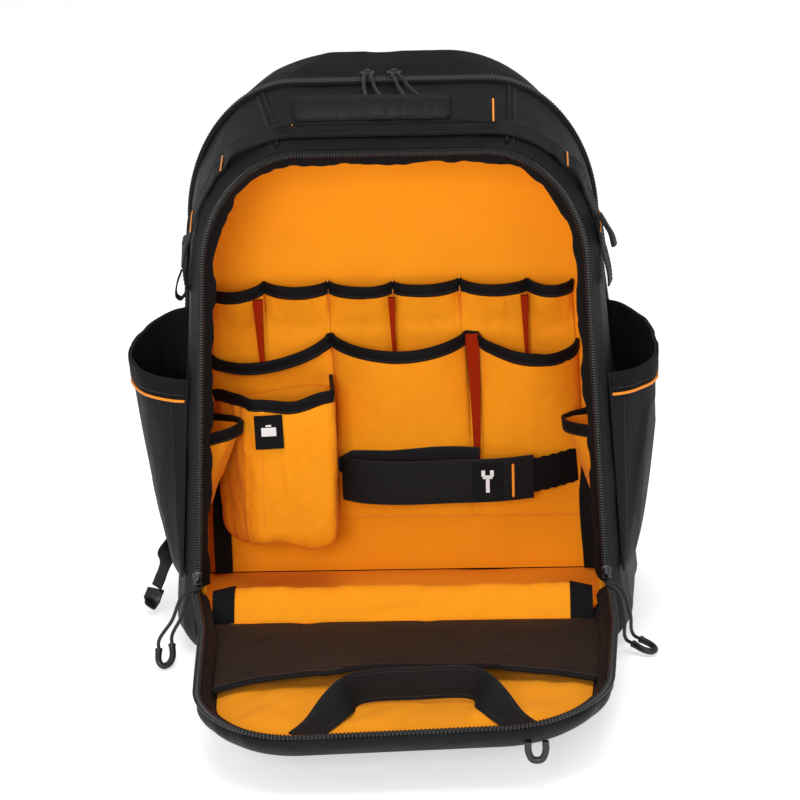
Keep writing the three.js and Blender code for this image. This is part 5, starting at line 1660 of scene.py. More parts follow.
@dataclass
class SidePockets:
    """Pockets on the inner side walls and outside on the body."""

    form: BodyForm = FORM
    inner_front: float = -86.0
    inner_rear: float = -8.0
    inner_low: float = 50.0
    inner_top: float = 170.0
    inner_depth: float = 38.0
    outer_front: float = -102.96
    outer_rear: float = 20.0
    outer_low: float = 62.0
    rim_front: float = 220.0
    rim_rear: float = 250.0
    hem: float = 13.0

    def lining_inset(self, y: Grid) -> Grid:
        """Inset of the lining's inner face at a depth."""
        return np.interp(y, (-105.5, -95, -80, 15), (12.5, 7.0, LINING_INSET, LINING_INSET)) + 1.5

    def inner(self, side: int) -> tuple[Skin, Skin]:
        """Pocket on an inner wall and its binding.

        The cloth leaves the wall by its depth, times the rise, times the fullness.

        Args:
            side: Minus one at the left, one at the right.

        Returns:
            The cloth and the binding.
        """
        share = shares(46)[None]
        z = np.linspace(self.inner_low, self.inner_top, 60)[:, None]
        rise = (z - self.inner_low) / (self.inner_top - self.inner_low)
        y = mix(self.inner_front, self.inner_rear, share) + 0 * z
        full = fullness(share)
        edge = np.minimum(1, np.minimum(share, 1 - share) * 8)
        folds = Folds(151 + side, 42.0, 2.0, across=0.8, along=3.0, crease=0.3, count=8).at(y, z)
        folds = folds * edge * (0.3 + rise)
        fine = Folds(153 + side, 16.0, 0.5, crease=0.3).at(y, z) * edge
        slack = CLEARANCE + CLOTH_WALL + self.inner_depth * rise * full + np.maximum(folds + fine, -1.0)
        x = side * (self.form.side(y, z) - self.lining_inset(y) - slack)
        outer = self.form.lean(points_at(x, y, z))
        inner = outer + np.array([side * 1.1, 0, 0])
        cloth = Skin().sheet(outer, inner, ORANGE)
        path = outer[-1] + np.array([side * 0.5, 0, -self.hem / 2 + 3.0])
        path = even(path, 90)
        u = lengths(path)
        path[:, 2] += 1.1 * np.sin(u / 19 + side)
        out = np.array([-side * 0.8, -0.6, 0])
        up = unit(points_at(0.05 * np.sin(u / 9), 0.0, 1.0))
        return cloth, PocketWall().bound(path, up, 10.0, 2.6, out)

    def outer(self, side: int, depth: float) -> Skin:
        """Outer pocket with its hem and piping.

        Args:
            side: Minus one at the left, one at the right.
            depth: Slack of the pocket.

        Returns:
            The pocket.
        """
        share = shares(66)[None]
        rise = shares(66)[:, None]
        y = mix(self.outer_front, self.outer_rear, share)
        rim = mix(self.rim_front, self.rim_rear, share**2)
        z = mix(self.outer_low, rim, rise)
        y = y + 0 * z
        full = fullness(share)
        edge = np.minimum(1, np.minimum(share, 1 - share) * 7) * np.minimum(1, rise * 8)
        sag = Folds(171 + side, 60.0, 2.6, across=0.9, along=2.8, crease=0.35, count=9).at(y, z) * edge
        fine = Folds(173 + side, 22.0, 0.7, across=1.0, along=1.5, crease=0.35).at(y, z) * edge
        slack = depth * rise**0.75 * full
        x = side * (self.form.side(y, z) + LOOSE + slack + 2.0 + sag + fine)
        face = self.form.lean(points_at(x, y, z))
        inner = self.form.lean(np.stack([x - side * 1.9, y, z], -1))
        wear = 0.35 * bump_at(rise, 1.0, 0.02) + 0 * share
        skin = Skin().sheet(face, inner, BLACK, False, wear)
        hem_rows = slice(59, 66)
        out = normals(face) * side
        out *= np.sign(np.sum(out * np.array([side, -0.2, 0]), axis=-1, keepdims=True))
        puff = 1.3 * np.sin(np.linspace(0.15, 1, 7) * math.pi * 0.8)[:, None, None]
        hem = face[hem_rows] + out[hem_rows] * (0.35 + puff)
        wear = 0.4 * bump_at(np.arange(7)[:, None], 6, 1.0) + 0 * share
        skin.sheet(hem, face[hem_rows] + out[hem_rows] * 0.15, BINDING, False, wear)
        line = face[58] + out[58] * 1.2
        skin.bar(even(line, 160), (0, 0, 1), (2.3, 2.3, 10, 2.0), PIPING)
        skin.stitches(face[60] + out[60] * 1.75, (side, -0.3, 0), BLACK_THREAD, 3.0, 0.28)
        for column in (2, 63):
            seam = face[2:58, column] + out[2:58, column] * 0.25
            skin.stitches(seam, (side, -0.3, 0), BLACK_THREAD, 3.4, 0.28)
        return skin

    def make(self) -> None:
        """Builds all four pockets."""
        for name, side, depth in (("left", -1, 42.0), ("right", 1, 36.0)):
            cloth, binding = self.inner(side)
            place(cloth, f"inner_pocket_cloth_{name}", [f"inner_pocket_{name}"])
            place(binding, f"inner_pocket_binding_{name}")
            place(self.outer(side, depth), f"outer_pocket_cloth_{name}", [f"outer_pocket_{name}"])


@dataclass
class Flap:
    """Front panel swung down, with its lining, zip, net pocket, outer pocket and handle."""

    form: BodyForm = FORM
    reach: float = 298.15
    corner: float = 88.0
    floor_inset: float = 15.0
    start: float = 1.0
    shift: float = 8.0
    heights: tuple = ((0, 32, 53), (0.3, 38, 54), (0.6, 42, 54), (0.85, 42, 51), (1, 39, 46))
    sill_profile: tuple = ((20, 0), (19.5, 7), (18, 14), (15.3, 19), (11, 23.4), (7, 26.6), (3, 28.2),
                           (-1, 27.8), (-5, 26), (-9, 22.4), (-13, 17.5), (-16.8, 12), (-20, 6.5),
                           (-19, 5.4), (-10, 5.2), (-1.5, 5.4), (2, 0.6), (11, 0.2))
    pouch_half: float = 122.0
    pouch_near: float = 24.0
    pouch_far: float = 196.0
    pouch_radius: float = 30.0
    net_start: float = 22.0
    net_end: float = 186.0
    tape: tuple = ((2.0, 0.7), (5.0, 1.0), (8.6, -1.2), (11.0, -5.5), (10.2, -6.2), (7.6, -2.4), (4.6, -0.4),
                   (2.0, -0.2))
    stations: tuple = ((-70, 280, 0.3, 0), (-60, 266, 1, 0.05), (-47, 246, 8, 0.4), (-33, 230, 13.5, 0.95),
                       (9, 226, 14, 1), (49, 228, 13.5, 0.95), (62, 246, 8, 0.4), (75, 266, 1, 0.05),
                       (85, 280, 0.3, 0))

    def level(self, reach: Grid, column: int) -> Grid:
        """Height of the lining (1) or the rim (2) at a reach."""
        rows = np.array(self.heights, float)
        return curve_table(rows[:, 0], rows[:, column], np.asarray(reach, float) / self.reach)

    def half_width(self, reach: Grid) -> Grid:
        """Half width of the flap at a reach."""
        base, shoulder, across, top, up, _ = (float(v) for v in self.form.measures(self.form.front))
        reach = np.asarray(reach, float)
        z = np.minimum(mix(OPENING_FOOT, top, np.clip(reach / self.reach, 0, 1)), top - up)
        straight = self.reach - self.corner
        rise = np.clip((reach - straight) / self.corner, 0, 1)
        arched = shoulder - across + across * np.sqrt(1 - rise**2)
        return np.where(rise > 0, arched, self.form.side(self.form.front + 0 * z, z))

    def outline(self, inset) -> Grid:
        """Outline from the left hinge point round the far end to the right, as pairs of x and reach."""
        _, shoulder, across, _, _, _ = (float(v) for v in self.form.measures(self.form.front))
        straight = self.reach - self.corner
        reach = np.linspace(self.start, straight, 50, endpoint=False)
        side = np.stack([self.half_width(reach) - inset, reach], 1)
        angle = np.linspace(0, math.pi / 2, 44)
        corner = np.stack([shoulder - across + (across - inset) * np.cos(angle),
                           straight + (self.corner - inset) * np.sin(angle)], 1)
        x = np.linspace(shoulder - across, 0, 22)[1:]
        end = np.stack([x, np.full_like(x, self.reach - inset)], 1)
        half = np.concatenate([side, corner, end])
        return np.concatenate([half * np.array([-1.0, 1.0]), half[-2::-1]])

    def at(self, plan: Grid, z: Grid) -> Grid:
        """Points of the flap from x and reach, and heights; the flap lies a little to the right."""
        x, reach = plan[..., 0], plan[..., 1]
        turn = x / 150 * np.clip(reach / self.reach, 0, 1)
        shift = self.shift * np.clip(reach / 90, 0, 1) * (1 - 0.25 * np.clip(x / 150, 0, 1))
        return np.stack([x + shift, self.form.front - reach * (1 - 0.02 * turn), z + 3.0 * turn], -1)

    def floor_rows(self, inset: float, start: float, drop: float, count: int = 30) -> Grid:
        """Rows that shrink the flap's floor towards the middle of its hinge."""
        plan = self.outline(inset)
        share = np.linspace(1, 0, count)[:, None]
        reach = np.maximum(mix(start, plan[None, :, 1], share), start)
        rows = np.stack([plan[None, :, 0] * share, reach], -1)
        return self.at(rows, self.level(reach, 1) - drop)

    def shell(self) -> Skin:
        """Padded tray: a leaning rim, a swollen edge and an underside."""
        plan = self.outline(0.0)
        rim = self.level(plan[:, 1], 2)
        under = self.level(plan[:, 1], 1) - 8.8
        distance = lengths(self.at(plan, rim))[None]
        share = shares(14)[:, None]
        inset = 11.0 * share**1.6 - 2.6 * np.sin(share * math.pi) ** 0.8
        outer = np.stack([self.at(self.outline(float(i)), mix(rim, under, float(s)))
                          for i, s in zip(inset[:, 0], share[:, 0])])
        ripple = Folds(201, 46.0, 1.0, crease=0.25).at(distance, share * 16) * np.sin(share * math.pi)
        inward = self.at(self.outline(5.0), rim) - self.at(plan, rim)
        outer = outer - inward[None] / 5 * ripple[..., None]
        floor = self.floor_rows(11.0, self.start, 8.8)[1:]
        outer = np.concatenate([outer, floor])
        share = shares(14)[:, None]
        lining = self.level(plan[:, 1], 1) - 1.9
        inset = mix(2.6, 15.0, share**0.8)
        inner = np.stack([self.at(self.outline(float(i)), mix(rim, lining, float(s)))
                          for i, s in zip(inset[:, 0], share[:, 0])])
        inner = np.concatenate([inner, self.floor_rows(15.0, self.start, 1.9)[1:]])
        # painted highlight: a lighter band along the belly of the swollen rim, where light catches the padded
        # edge
        wear = np.zeros(outer.shape[:2]) + 0.4 * bump_at(np.arange(len(outer))[:, None], 7, 2.5)
        return Skin().sheet(outer, inner, BLACK, False, wear)

    def lining(self) -> Skin:
        """Orange lining with soft folds that run from the handle and the corners."""
        front = self.floor_rows(self.floor_inset - 0.6, self.start + 1, 0.0, 46)
        x, y = front[..., 0], front[..., 1]
        calm = np.clip(np.arange(46)[:, None] / 4, 0, 1)
        far = np.clip((-y - 300) / 60, 0, 1)
        folds = Folds(211, 70.0, 2.4, across=0.9, along=1.2, crease=0.35, count=9).at(x, y)
        fine = Folds(213, 20.0, 0.5, crease=0.3).at(x, y)
        radial = 1.6 * np.sin(np.arctan2(x - 15, y + 345) * 7) * bump_at(np.hypot(x - 15, y + 345), 75, 34)
        lift = calm * (far * (folds + radial) + 0.4 * folds + fine + 1.2)
        front[..., 2] += np.maximum(lift, 0.0)
        back = front.copy()
        back[..., 2] -= 1.2
        return Skin().sheet(front, back, ORANGE)

    def coil(self) -> Skin:
        """Half of the front zip round the flap, on its woven tape."""
        outer, inner = self.outline(0.6), self.outline(1.6)
        base = self.level(outer[:, 1], 2) + CLEARANCE + 1.6
        path = self.at(outer, base)
        across = self.at(inner, base) - path
        skin = Skin().tube(chain(even(path, 1200), unit(even(across, 1200)), 6.2, 3.8, 2.8), COIL)
        rows = []
        for inset, lift in self.tape:
            plan = self.outline(inset)
            rows.append(self.at(plan, self.level(plan[:, 1], 2) + lift))
        return skin.tube(np.stack(rows, axis=1), BINDING)

    def net(self) -> tuple[Skin, Skin]:
        """Net pocket over the near half and the binding of its free edge."""
        share = shares(90)[None]
        reach = np.linspace(self.net_start, self.net_end, 60)[:, None]
        along = (reach - self.net_start) / (self.net_end - self.net_start)
        half = self.half_width(reach) - self.floor_inset + 3.0
        x = half * (2 * share - 1)
        slack = 9.0 * along * np.sin(math.pi * share)
        folds = Folds(221, 60.0, 1.6, across=1.0, along=2.0, crease=0.3, count=8).at(x, reach)
        lift = 3.0 * np.minimum(along * 4, 1) + 1.6 + slack
        lift = lift + np.maximum(folds, -0.8) * np.sin(math.pi * share) ** 0.5
        bow = 15.0 * (2 * share - 1) ** 4 * along
        plan = np.stack([x + 0 * lift, reach + bow + 0 * lift], -1)
        face = self.at(plan, self.level(plan[..., 1], 1) + lift)
        back = face.copy()
        back[..., 2] -= 0.5
        path = even(face[-1], 200)
        path[:, 2] += 0.3
        across = unit(np.gradient(face, axis=0)[-1])
        across = unit(even(np.concatenate([face[-1], across], 1), 200)[:, 3:])
        path = path - across * 3.0
        u = lengths(path)
        path[:, 2] += 0.5 * np.sin(u / 15)
        binding = PocketWall().bound(path, across, 9.0, 2.4, np.array([0, -0.3, 1.0]))
        return Skin().sheet(face, back, NET), binding

    def sill(self) -> Skin:
        """Padded roll along the sill, with its end gussets."""
        profile = np.array(self.sill_profile, float)
        loop = even(np.concatenate([profile, profile[:1]]), 49)[:-1]
        x = np.linspace(-131, 131, 150)[:, None]
        y = self.form.front + loop[None, :, 0]
        lowest = np.where(loop[:, 0] < 2, 33.7, 28.3)
        z = np.maximum(28.3 + loop[None, :, 1], lowest[None])
        around = lengths(np.concatenate([loop, loop[:1]]))[:-1][None]
        folds = Folds(231, 55.0, 1.4, across=1.6, along=0.8, crease=0.3, count=9).at(x, around)
        fine = Folds(233, 17.0, 0.45, across=0.8, along=1.4, crease=0.3).at(x, around)
        upper = np.clip((loop[None, :, 1] - 5.6) / 9, 0, 1)
        lift = (folds + fine) * upper
        rings = points_at(x, y - 0.5 * lift, z + lift)
        skin = Skin().tube(rings, ORANGE)
        for side in (-1, 1):
            x = side * np.linspace(130.0, 147.5, 16)[:, None]
            swell = mix(1.06, 0.92, shares(16))[:, None]
            y = self.form.front + loop[None, :, 0] * swell
            z = np.maximum(28.3 + loop[None, :, 1] * swell, lowest[None] + 0 * y)
            skin.tube(points_at(x, y, z), BINDING)
        return skin

    def pouch(self) -> Skin:
        """Outer pocket under the flap, a shallow tray with a rounded foot."""
        start, half = self.form.front, self.pouch_half
        corners = np.array([[-half, start - self.pouch_far], [half, start - self.pouch_near]])

        def plan(inset: float) -> Grid:
            """Rounded outline moved inward."""
            low, high = corners.min(0) + inset, corners.max(0) - inset
            radius = self.pouch_radius
            angle = np.linspace(0, math.pi / 2, 18)
            arc = np.stack([np.cos(angle), np.sin(angle)], 1) * radius
            parts = []
            turns = (high, (low[0], high[1]), low, (high[0], low[1]))
            for k, (cx, cy) in enumerate(turns):
                turn = math.pi / 2 * k
                rotation = np.array([[math.cos(turn), math.sin(turn)], [-math.sin(turn), math.cos(turn)]])
                inward = -radius if cy == high[1] else radius
                parts.append(np.array([cx - math.copysign(radius, cx), cy + inward]) + arc @ rotation)
            loop = np.concatenate(parts)
            return even(np.concatenate([loop, loop[:1]]), 201)[:-1]

        def rings(wall: float) -> Grid:
            """Rings from the rim to the middle of the floor."""
            rows = []
            for share in shares(12):
                points = plan(wall - 1.2 * math.sin(share * math.pi) * (wall == 0))
                top = self.level(start - points[:, 1], 1) - 1.8 - 7.7
                rows.append(np.concatenate([points, mix(top, 8.0 + wall, share)[:, None]], 1))
            for inset, z in ((2.0, 3.5), (6.0, 1.0), (12.0, 0.0)):
                points = plan(wall + inset)
                rows.append(np.concatenate([points, np.full((len(points), 1), z + wall)], 1))
            middle = rows[-1].mean(axis=0)
            rows += [mix(middle, rows[-1], share) for share in np.linspace(0.8, 0.05, 10)]
            return np.stack(rows)

        return Skin().cup(rings(0.0), rings(2.2), BLACK)

    def handle(self) -> Skin:
        """Webbing handle lying flat on the flap at its ends and turned upright in its middle, with a stitch
        line along each edge.
        """
        rows = np.array(self.stations, float)
        count = 150
        middle = np.stack([rows[:, 0], rows[:, 1]], 1)
        z = self.level(rows[:, 1], 1) + CLEARANCE + 0.8 + rows[:, 2]
        along = spline(np.concatenate([self.at(middle, z), rows[:, 3:4] * 40], 1), count)
        path, tilt = along[:, :3], np.clip(along[:, 3] / 40, 0, 1)[:, None]
        direction = tangents(path * np.array([1, 1, 0.0]))
        lying = np.stack([-direction[:, 1], direction[:, 0], 0 * direction[:, 0]], -1)
        across = unit(lying * (1 - tilt) + np.array([0, 0, 1.0]) * tilt)
        ends = np.clip(1 - np.minimum(np.arange(count), np.arange(count)[::-1]) / 10, 0, 1)
        path[:, 2] += 0.9 * (1 - ends)
        section = rounded_section(25.0, WEB_WALL, 34, 7.0)
        wear = 0.4 * bump_at(np.abs(section[:, 0]), 12.5, 0.8)
        skin = Skin().tube(swept(path, across, section), WEBBING, wear[None])
        flat = np.cross(direction, across)
        flat *= np.sign(flat[:, 2:3] * 0.3 - flat[:, 1:2])
        for height in (-9.5, 9.5):
            line = path + across * height + flat * 0.85
            skin.stitches(line[6:-6], flat[6:-6], BLACK_THREAD, 3.0, 0.24)
        return skin

    def make(self) -> None:
        """Builds the flap."""
        place(self.shell(), "flap_tray", ["flap_shell"])
        place(self.lining(), "flap_lining_cloth", ["flap_lining"])
        place(self.coil(), "flap_coil", ["flap_zip_coil"])
        net, binding = self.net()
        place(net, "flap_net", ["mesh_pocket"])
        place(binding, "flap_net_binding")
        place(self.sill(), "sill_pad", ["sill_roll"])
        place(self.pouch(), "flap_pouch_cloth", ["flap_pouch"])
        place(self.handle(), "flap_handle_webbing", ["flap_handle"])


@dataclass
class TopHandle:
    """Webbing over the shoulders and the wrapped grip on it."""

    form: BodyForm = FORM
    left: float = -75.2
    right: float = 45.12
    depth: float = -64.0
    lean: tuple = (0.0, 0.33, 0.944)

    def seat(self) -> float:
        """Height of the shoulder webbing's upper face under the handle."""
        return self.form.crown(self.depth) + LOOSE + WEB_WALL + CLEARANCE

    def webbing(self) -> Skin:
        """Webbing over both shoulders."""
        edges = self.form.arch(np.array([-98.0, -73.0]), np.array([-1.6, -1.6]), 286.0)
        path, across = edges.mean(axis=0), edges[1] - edges[0]
        u = lengths(path)
        lift = path - self.form.arch(np.array([-85.5]), 10.0, 286.0)[0]
        reach = np.abs(path[:, 0])
        loops = np.clip(np.sin(u / 14.5), 0, 1) * np.clip((reach - 92) / 12, 0, 1)
        loops = loops * (1 - bump_at(reach, 130.0, 5.0))
        path = path + unit(lift) * (0.35 + 3.6 * loops)[:, None]
        section = rounded_section(25.0, WEB_WALL, 30, 7.0)
        skin = Skin().tube(swept(path, across, section), WEBBING)
        for off in (-0.4, 0.4):
            skin.stitches(path + across * off + unit(lift) * 0.9, lift, BLACK_THREAD, 3.2, 0.25)
        return skin

    def grip(self) -> Skin:
        """Wrapped grip: a flat oval with a hem line along its lower edge and soft creases."""
        z = self.seat() + 12.0
        path = spline([(self.left, self.depth, z), ((self.left + self.right) / 2, self.depth - 2, z + 1),
                       (self.right, self.depth, z)], 130)
        section = rounded_section(20.0, 8.0, 40, 2.8)
        rings = swept(path, self.lean, section)
        u = lengths(path)[:, None]
        angle = np.linspace(0, TAU, 40, endpoint=False)[None]
        ends = np.clip(np.minimum(u, u[-1] - u) / 5, 0, 1) ** 0.5
        crease = Folds(301, 9.0, 0.35, across=0.7, along=2.0, crease=0.5).at(u, angle * 7)
        groove = -0.9 * bump_at(angle, math.pi * 0.86, 0.07) - 0.5 * bump_at(angle, math.pi * 1.14, 0.07)
        middle = rings.mean(axis=1, keepdims=True)
        rings = middle + (rings - middle) * mix(0.82, 1.0, ends)[..., None]
        outward = unit(rings - middle)
        rings = rings + outward * ((crease * 0.6 + groove) * ends)[..., None]
        wear = 0.6 * bump_at(np.abs(section[:, 0]), 10.0, 1.5)[None]
        return Skin().tube(rings, LEATHER, wear)

    def arms(self) -> list:
        """Webbing from the grip down to the shoulders, each with two stitch lines and a bar tack."""
        skins = []
        z = self.seat() + 12.0
        _, shoulder, across, _, up, _ = (float(v) for v in self.form.measures(self.depth))
        for end, tack in ((self.left, -90.05), (self.right, 79.99)):
            bend = up * (1 - math.sqrt(1 - max((abs(tack) - (shoulder - across)) / across, 0) ** 2))
            low = self.seat() + 8.6 - bend
            share = shares(70)[:, None]
            rise = (1 - share) ** 1.5
            x = mix(end - 3 * math.copysign(1, tack), tack, share)
            path = np.concatenate([x, np.full_like(x, self.depth), mix(low, z, rise)], 1)
            path[:, 2] += 0.25
            wide = mix(np.array([0, 0.45, 0.9]), np.array(self.lean), rise * 0.9)
            section = rounded_section(19.0, WEB_WALL, 30, 7.0)
            skin = Skin().tube(swept(path, unit(wide), section), WEBBING)
            for off in (-0.36, 0.36):
                line = path + unit(wide) * 19 * off + np.array([0, -0.15, 0.95])
                skin.stitches(line[16:-4], (0, -0.2, 1), BLACK_THREAD, 3.0, 0.24)
            reach = 9.3 if tack > 0 else 3.0
            off = np.array([0, -1.2, 0.4]) - (0 if tack > 0 else 1) * np.array([-12.0, 0.8, 5.0])
            end_line = path[-6] + unit(wide)[-6] * np.linspace(-reach, reach, 24)[:, None] + off
            bar_tack(skin, end_line, (0, -0.9, 0.4), 1.6, 1.0)
            skins.append(skin)
        return skins

    def make(self) -> None:
        """Builds the webbing and the handle."""
        place(self.webbing(), "shoulder_webbing_strap", ["shoulder_webbing"])
        place(self.grip(), "grip_cover", ["handle_grip"])
        for name, skin in zip(("left", "right"), self.arms()):
            place(skin, f"handle_arm_{name}", [f"handle_webbing_{name}"])


@dataclass
class Harness:
    """Back pad, shoulder straps and their webbing."""

    form: BodyForm = FORM
    pad_wall: float = 12.0
    pad_low: float = 41.5
    pad_high: float = 408.0
    channels: tuple = (135.0, 225.0, 315.0)
    width: float = 62.0
    thickness: float = 12.0
    strap: tuple = ((0.255, 0.2, 0.872), (0.287, 12, 0.809), (0.372, 22, 0.674), (0.468, 24, 0.517),
                    (0.521, 17, 0.371), (0.537, 5, 0.252))
    lower: tuple = ((0.543, 4, 0.227), (0.596, 3, 0.198), (0.713, 2, 0.157), (0.809, 1, 0.126))
    tail: tuple = ((6.7, 34, 58), (6.5, 10, 52), (10, -14, 42), (15.5, -21, 26), (18.6, -23, 19))
    tip: tuple = ((19.2, -24, 17.5), (22.6, -31, 11), (24.5, -38, 6.5))

    def pad(self) -> Skin:
        """Back pad with three sewn channels between crowned cushions."""
        back = self.form.back
        z = np.linspace(self.pad_low, self.pad_high, 84)[:, None]
        half = np.minimum(self.form.side(np.full_like(z, back), np.maximum(z, 30)) - 15.5, 160)
        half = half - 26 * bump_at(z, 34.0, 14.0)
        share = np.linspace(-1, 1, 74)[None]
        x = half * share
        rim = np.clip((1 - np.abs(share)) * half / 9.0, 0, 1)
        ends = np.clip(np.minimum(z - self.pad_low, self.pad_high - z) / 9.0, 0, 1)
        crown = np.sqrt(np.clip(rim * (2 - rim), 0, 1) * np.clip(ends * (2 - ends), 0, 1))
        channel = np.ones_like(x)
        for height in self.channels:
            channel = channel * (1 - 0.62 * bump_at(z, height + 6 * share**2, 6.0))
        channel = channel * (1 - 0.7 * bump_at(x, 0.0, 8.0) * ((z > 70) & (z < 390)))
        fine = Folds(351, 40.0, 0.5).at(x, z)
        y = back + CLEARANCE + (self.pad_wall - 0.6) * crown * channel * 0.98 + (fine - 0.2) * crown
        face = points_at(x, np.maximum(y, back + 0.5), z)
        rear = points_at(x, back + CLEARANCE, z)
        return Skin().sheet(face, rear, FOAM)

    def shoulder(self, side: int) -> Skin:
        """Padded shoulder strap with bound edges and a webbing down its middle."""
        points = [(side * a * self.form.half_width, self.form.back + 12.3 + 6 + off, up * self.form.height)
                  for a, off, up in self.strap]
        path = spline(points, 110)
        section = rounded_section(self.width - 3, self.thickness - 1, 40, 2.7)
        u = lengths(path)
        taper = np.clip(np.minimum(u, u[-1] - u) / 14, 0, 1) ** 0.5
        swell = np.stack([mix(0.72, 1.0, taper), mix(0.6, 1.0, taper) * (1 + 0.03 * np.sin(u / 9))], 1)
        rings = swept(path, (1, 0, 0), section, swell)
        skin = Skin().tube(rings, FOAM)
        out = np.cross(tangents(path), (1.0, 0, 0))
        out *= np.sign(out[:, 1:2])
        edge = rounded_section(3.4, 3.4, 12, 2.2)
        for sign in (-1, 1):
            line = path + np.array([sign, 0, 0]) * ((self.width - 4) / 2 * swell[:, :1])
            skin.tube(swept(line[2:-2], (1, 0, 0), edge), BINDING)
        band = path[8:-4] + out[8:-4] * (self.thickness / 2 - 0.2)
        skin.bar(band, (1, 0, 0), (24.0, 1.6, 26, 7.0), WEBBING)
        for off in (-10, 10):
            skin.stitches(band + np.array([off, 0, 0]) + out[8:-4] * 0.85, out[8:-4], BLACK_THREAD, 3.2, 0.26)
        return skin

    def webbing(self, side: int) -> Skin:
        """Adjusting webbing under a shoulder strap."""
        points = [(side * a * self.form.half_width, self.form.back + 12.3 + 0.8 + off, up * self.form.height)
                  for a, off, up in self.lower]
        path = spline(points, 70)
        return Skin().bar(path, (1, 0, 0), (25.0, WEB_WALL, 30, 7.0), WEBBING)

    def beside(self, rows: tuple) -> list:
        """Points beside the body's left side."""
        points = []
        for out, behind, height in rows:
            y = self.form.zip + behind
            points.append((-float(self.form.side(y, height)) - out, y, height))
        return points

    def loose_end(self) -> tuple[Skin, Skin]:
        """Loose end of the left lower webbing and its moulded tip."""
        lean = (0, 0.75, 0.65)
        path = spline(self.beside(self.tail), 90)
        u = lengths(path)
        section = rounded_section(18.75, WEB_WALL, 28, 7.0)
        strap = Skin().tube(swept(path, lean, section, (1 + 0.01 * np.sin(u / 6))[:, None]), WEBBING)
        path = spline(self.beside(self.tip), 40)
        share = shares(40)
        swell = np.stack([1 - 0.3 * share**3, 1 - 0.35 * share], 1)
        swell[-3:] *= np.array([[0.95], [0.8], [0.45]])
        tip = Skin().tube(swept(path, lean, rounded_section(15.0, 3.2, 22, 3.5), swell), PLASTIC)
        return strap, tip

    def make(self) -> None:
        """Builds the harness."""
        place(self.pad(), "back_pad_cushion", ["back_pad"])
        for name, side in (("left", -1), ("right", 1)):
            strap = place(self.shoulder(side), f"shoulder_pad_{name}", [f"shoulder_strap_{name}"])
            place(self.webbing(side), f"lower_webbing_{name}", [f"strap_webbing_{name}"])
        strap, tip = self.loose_end()
        place(strap, "strap_loose_end", ["strap_tail"])
        place(tip, "strap_end_tip", ["strap_tip"])


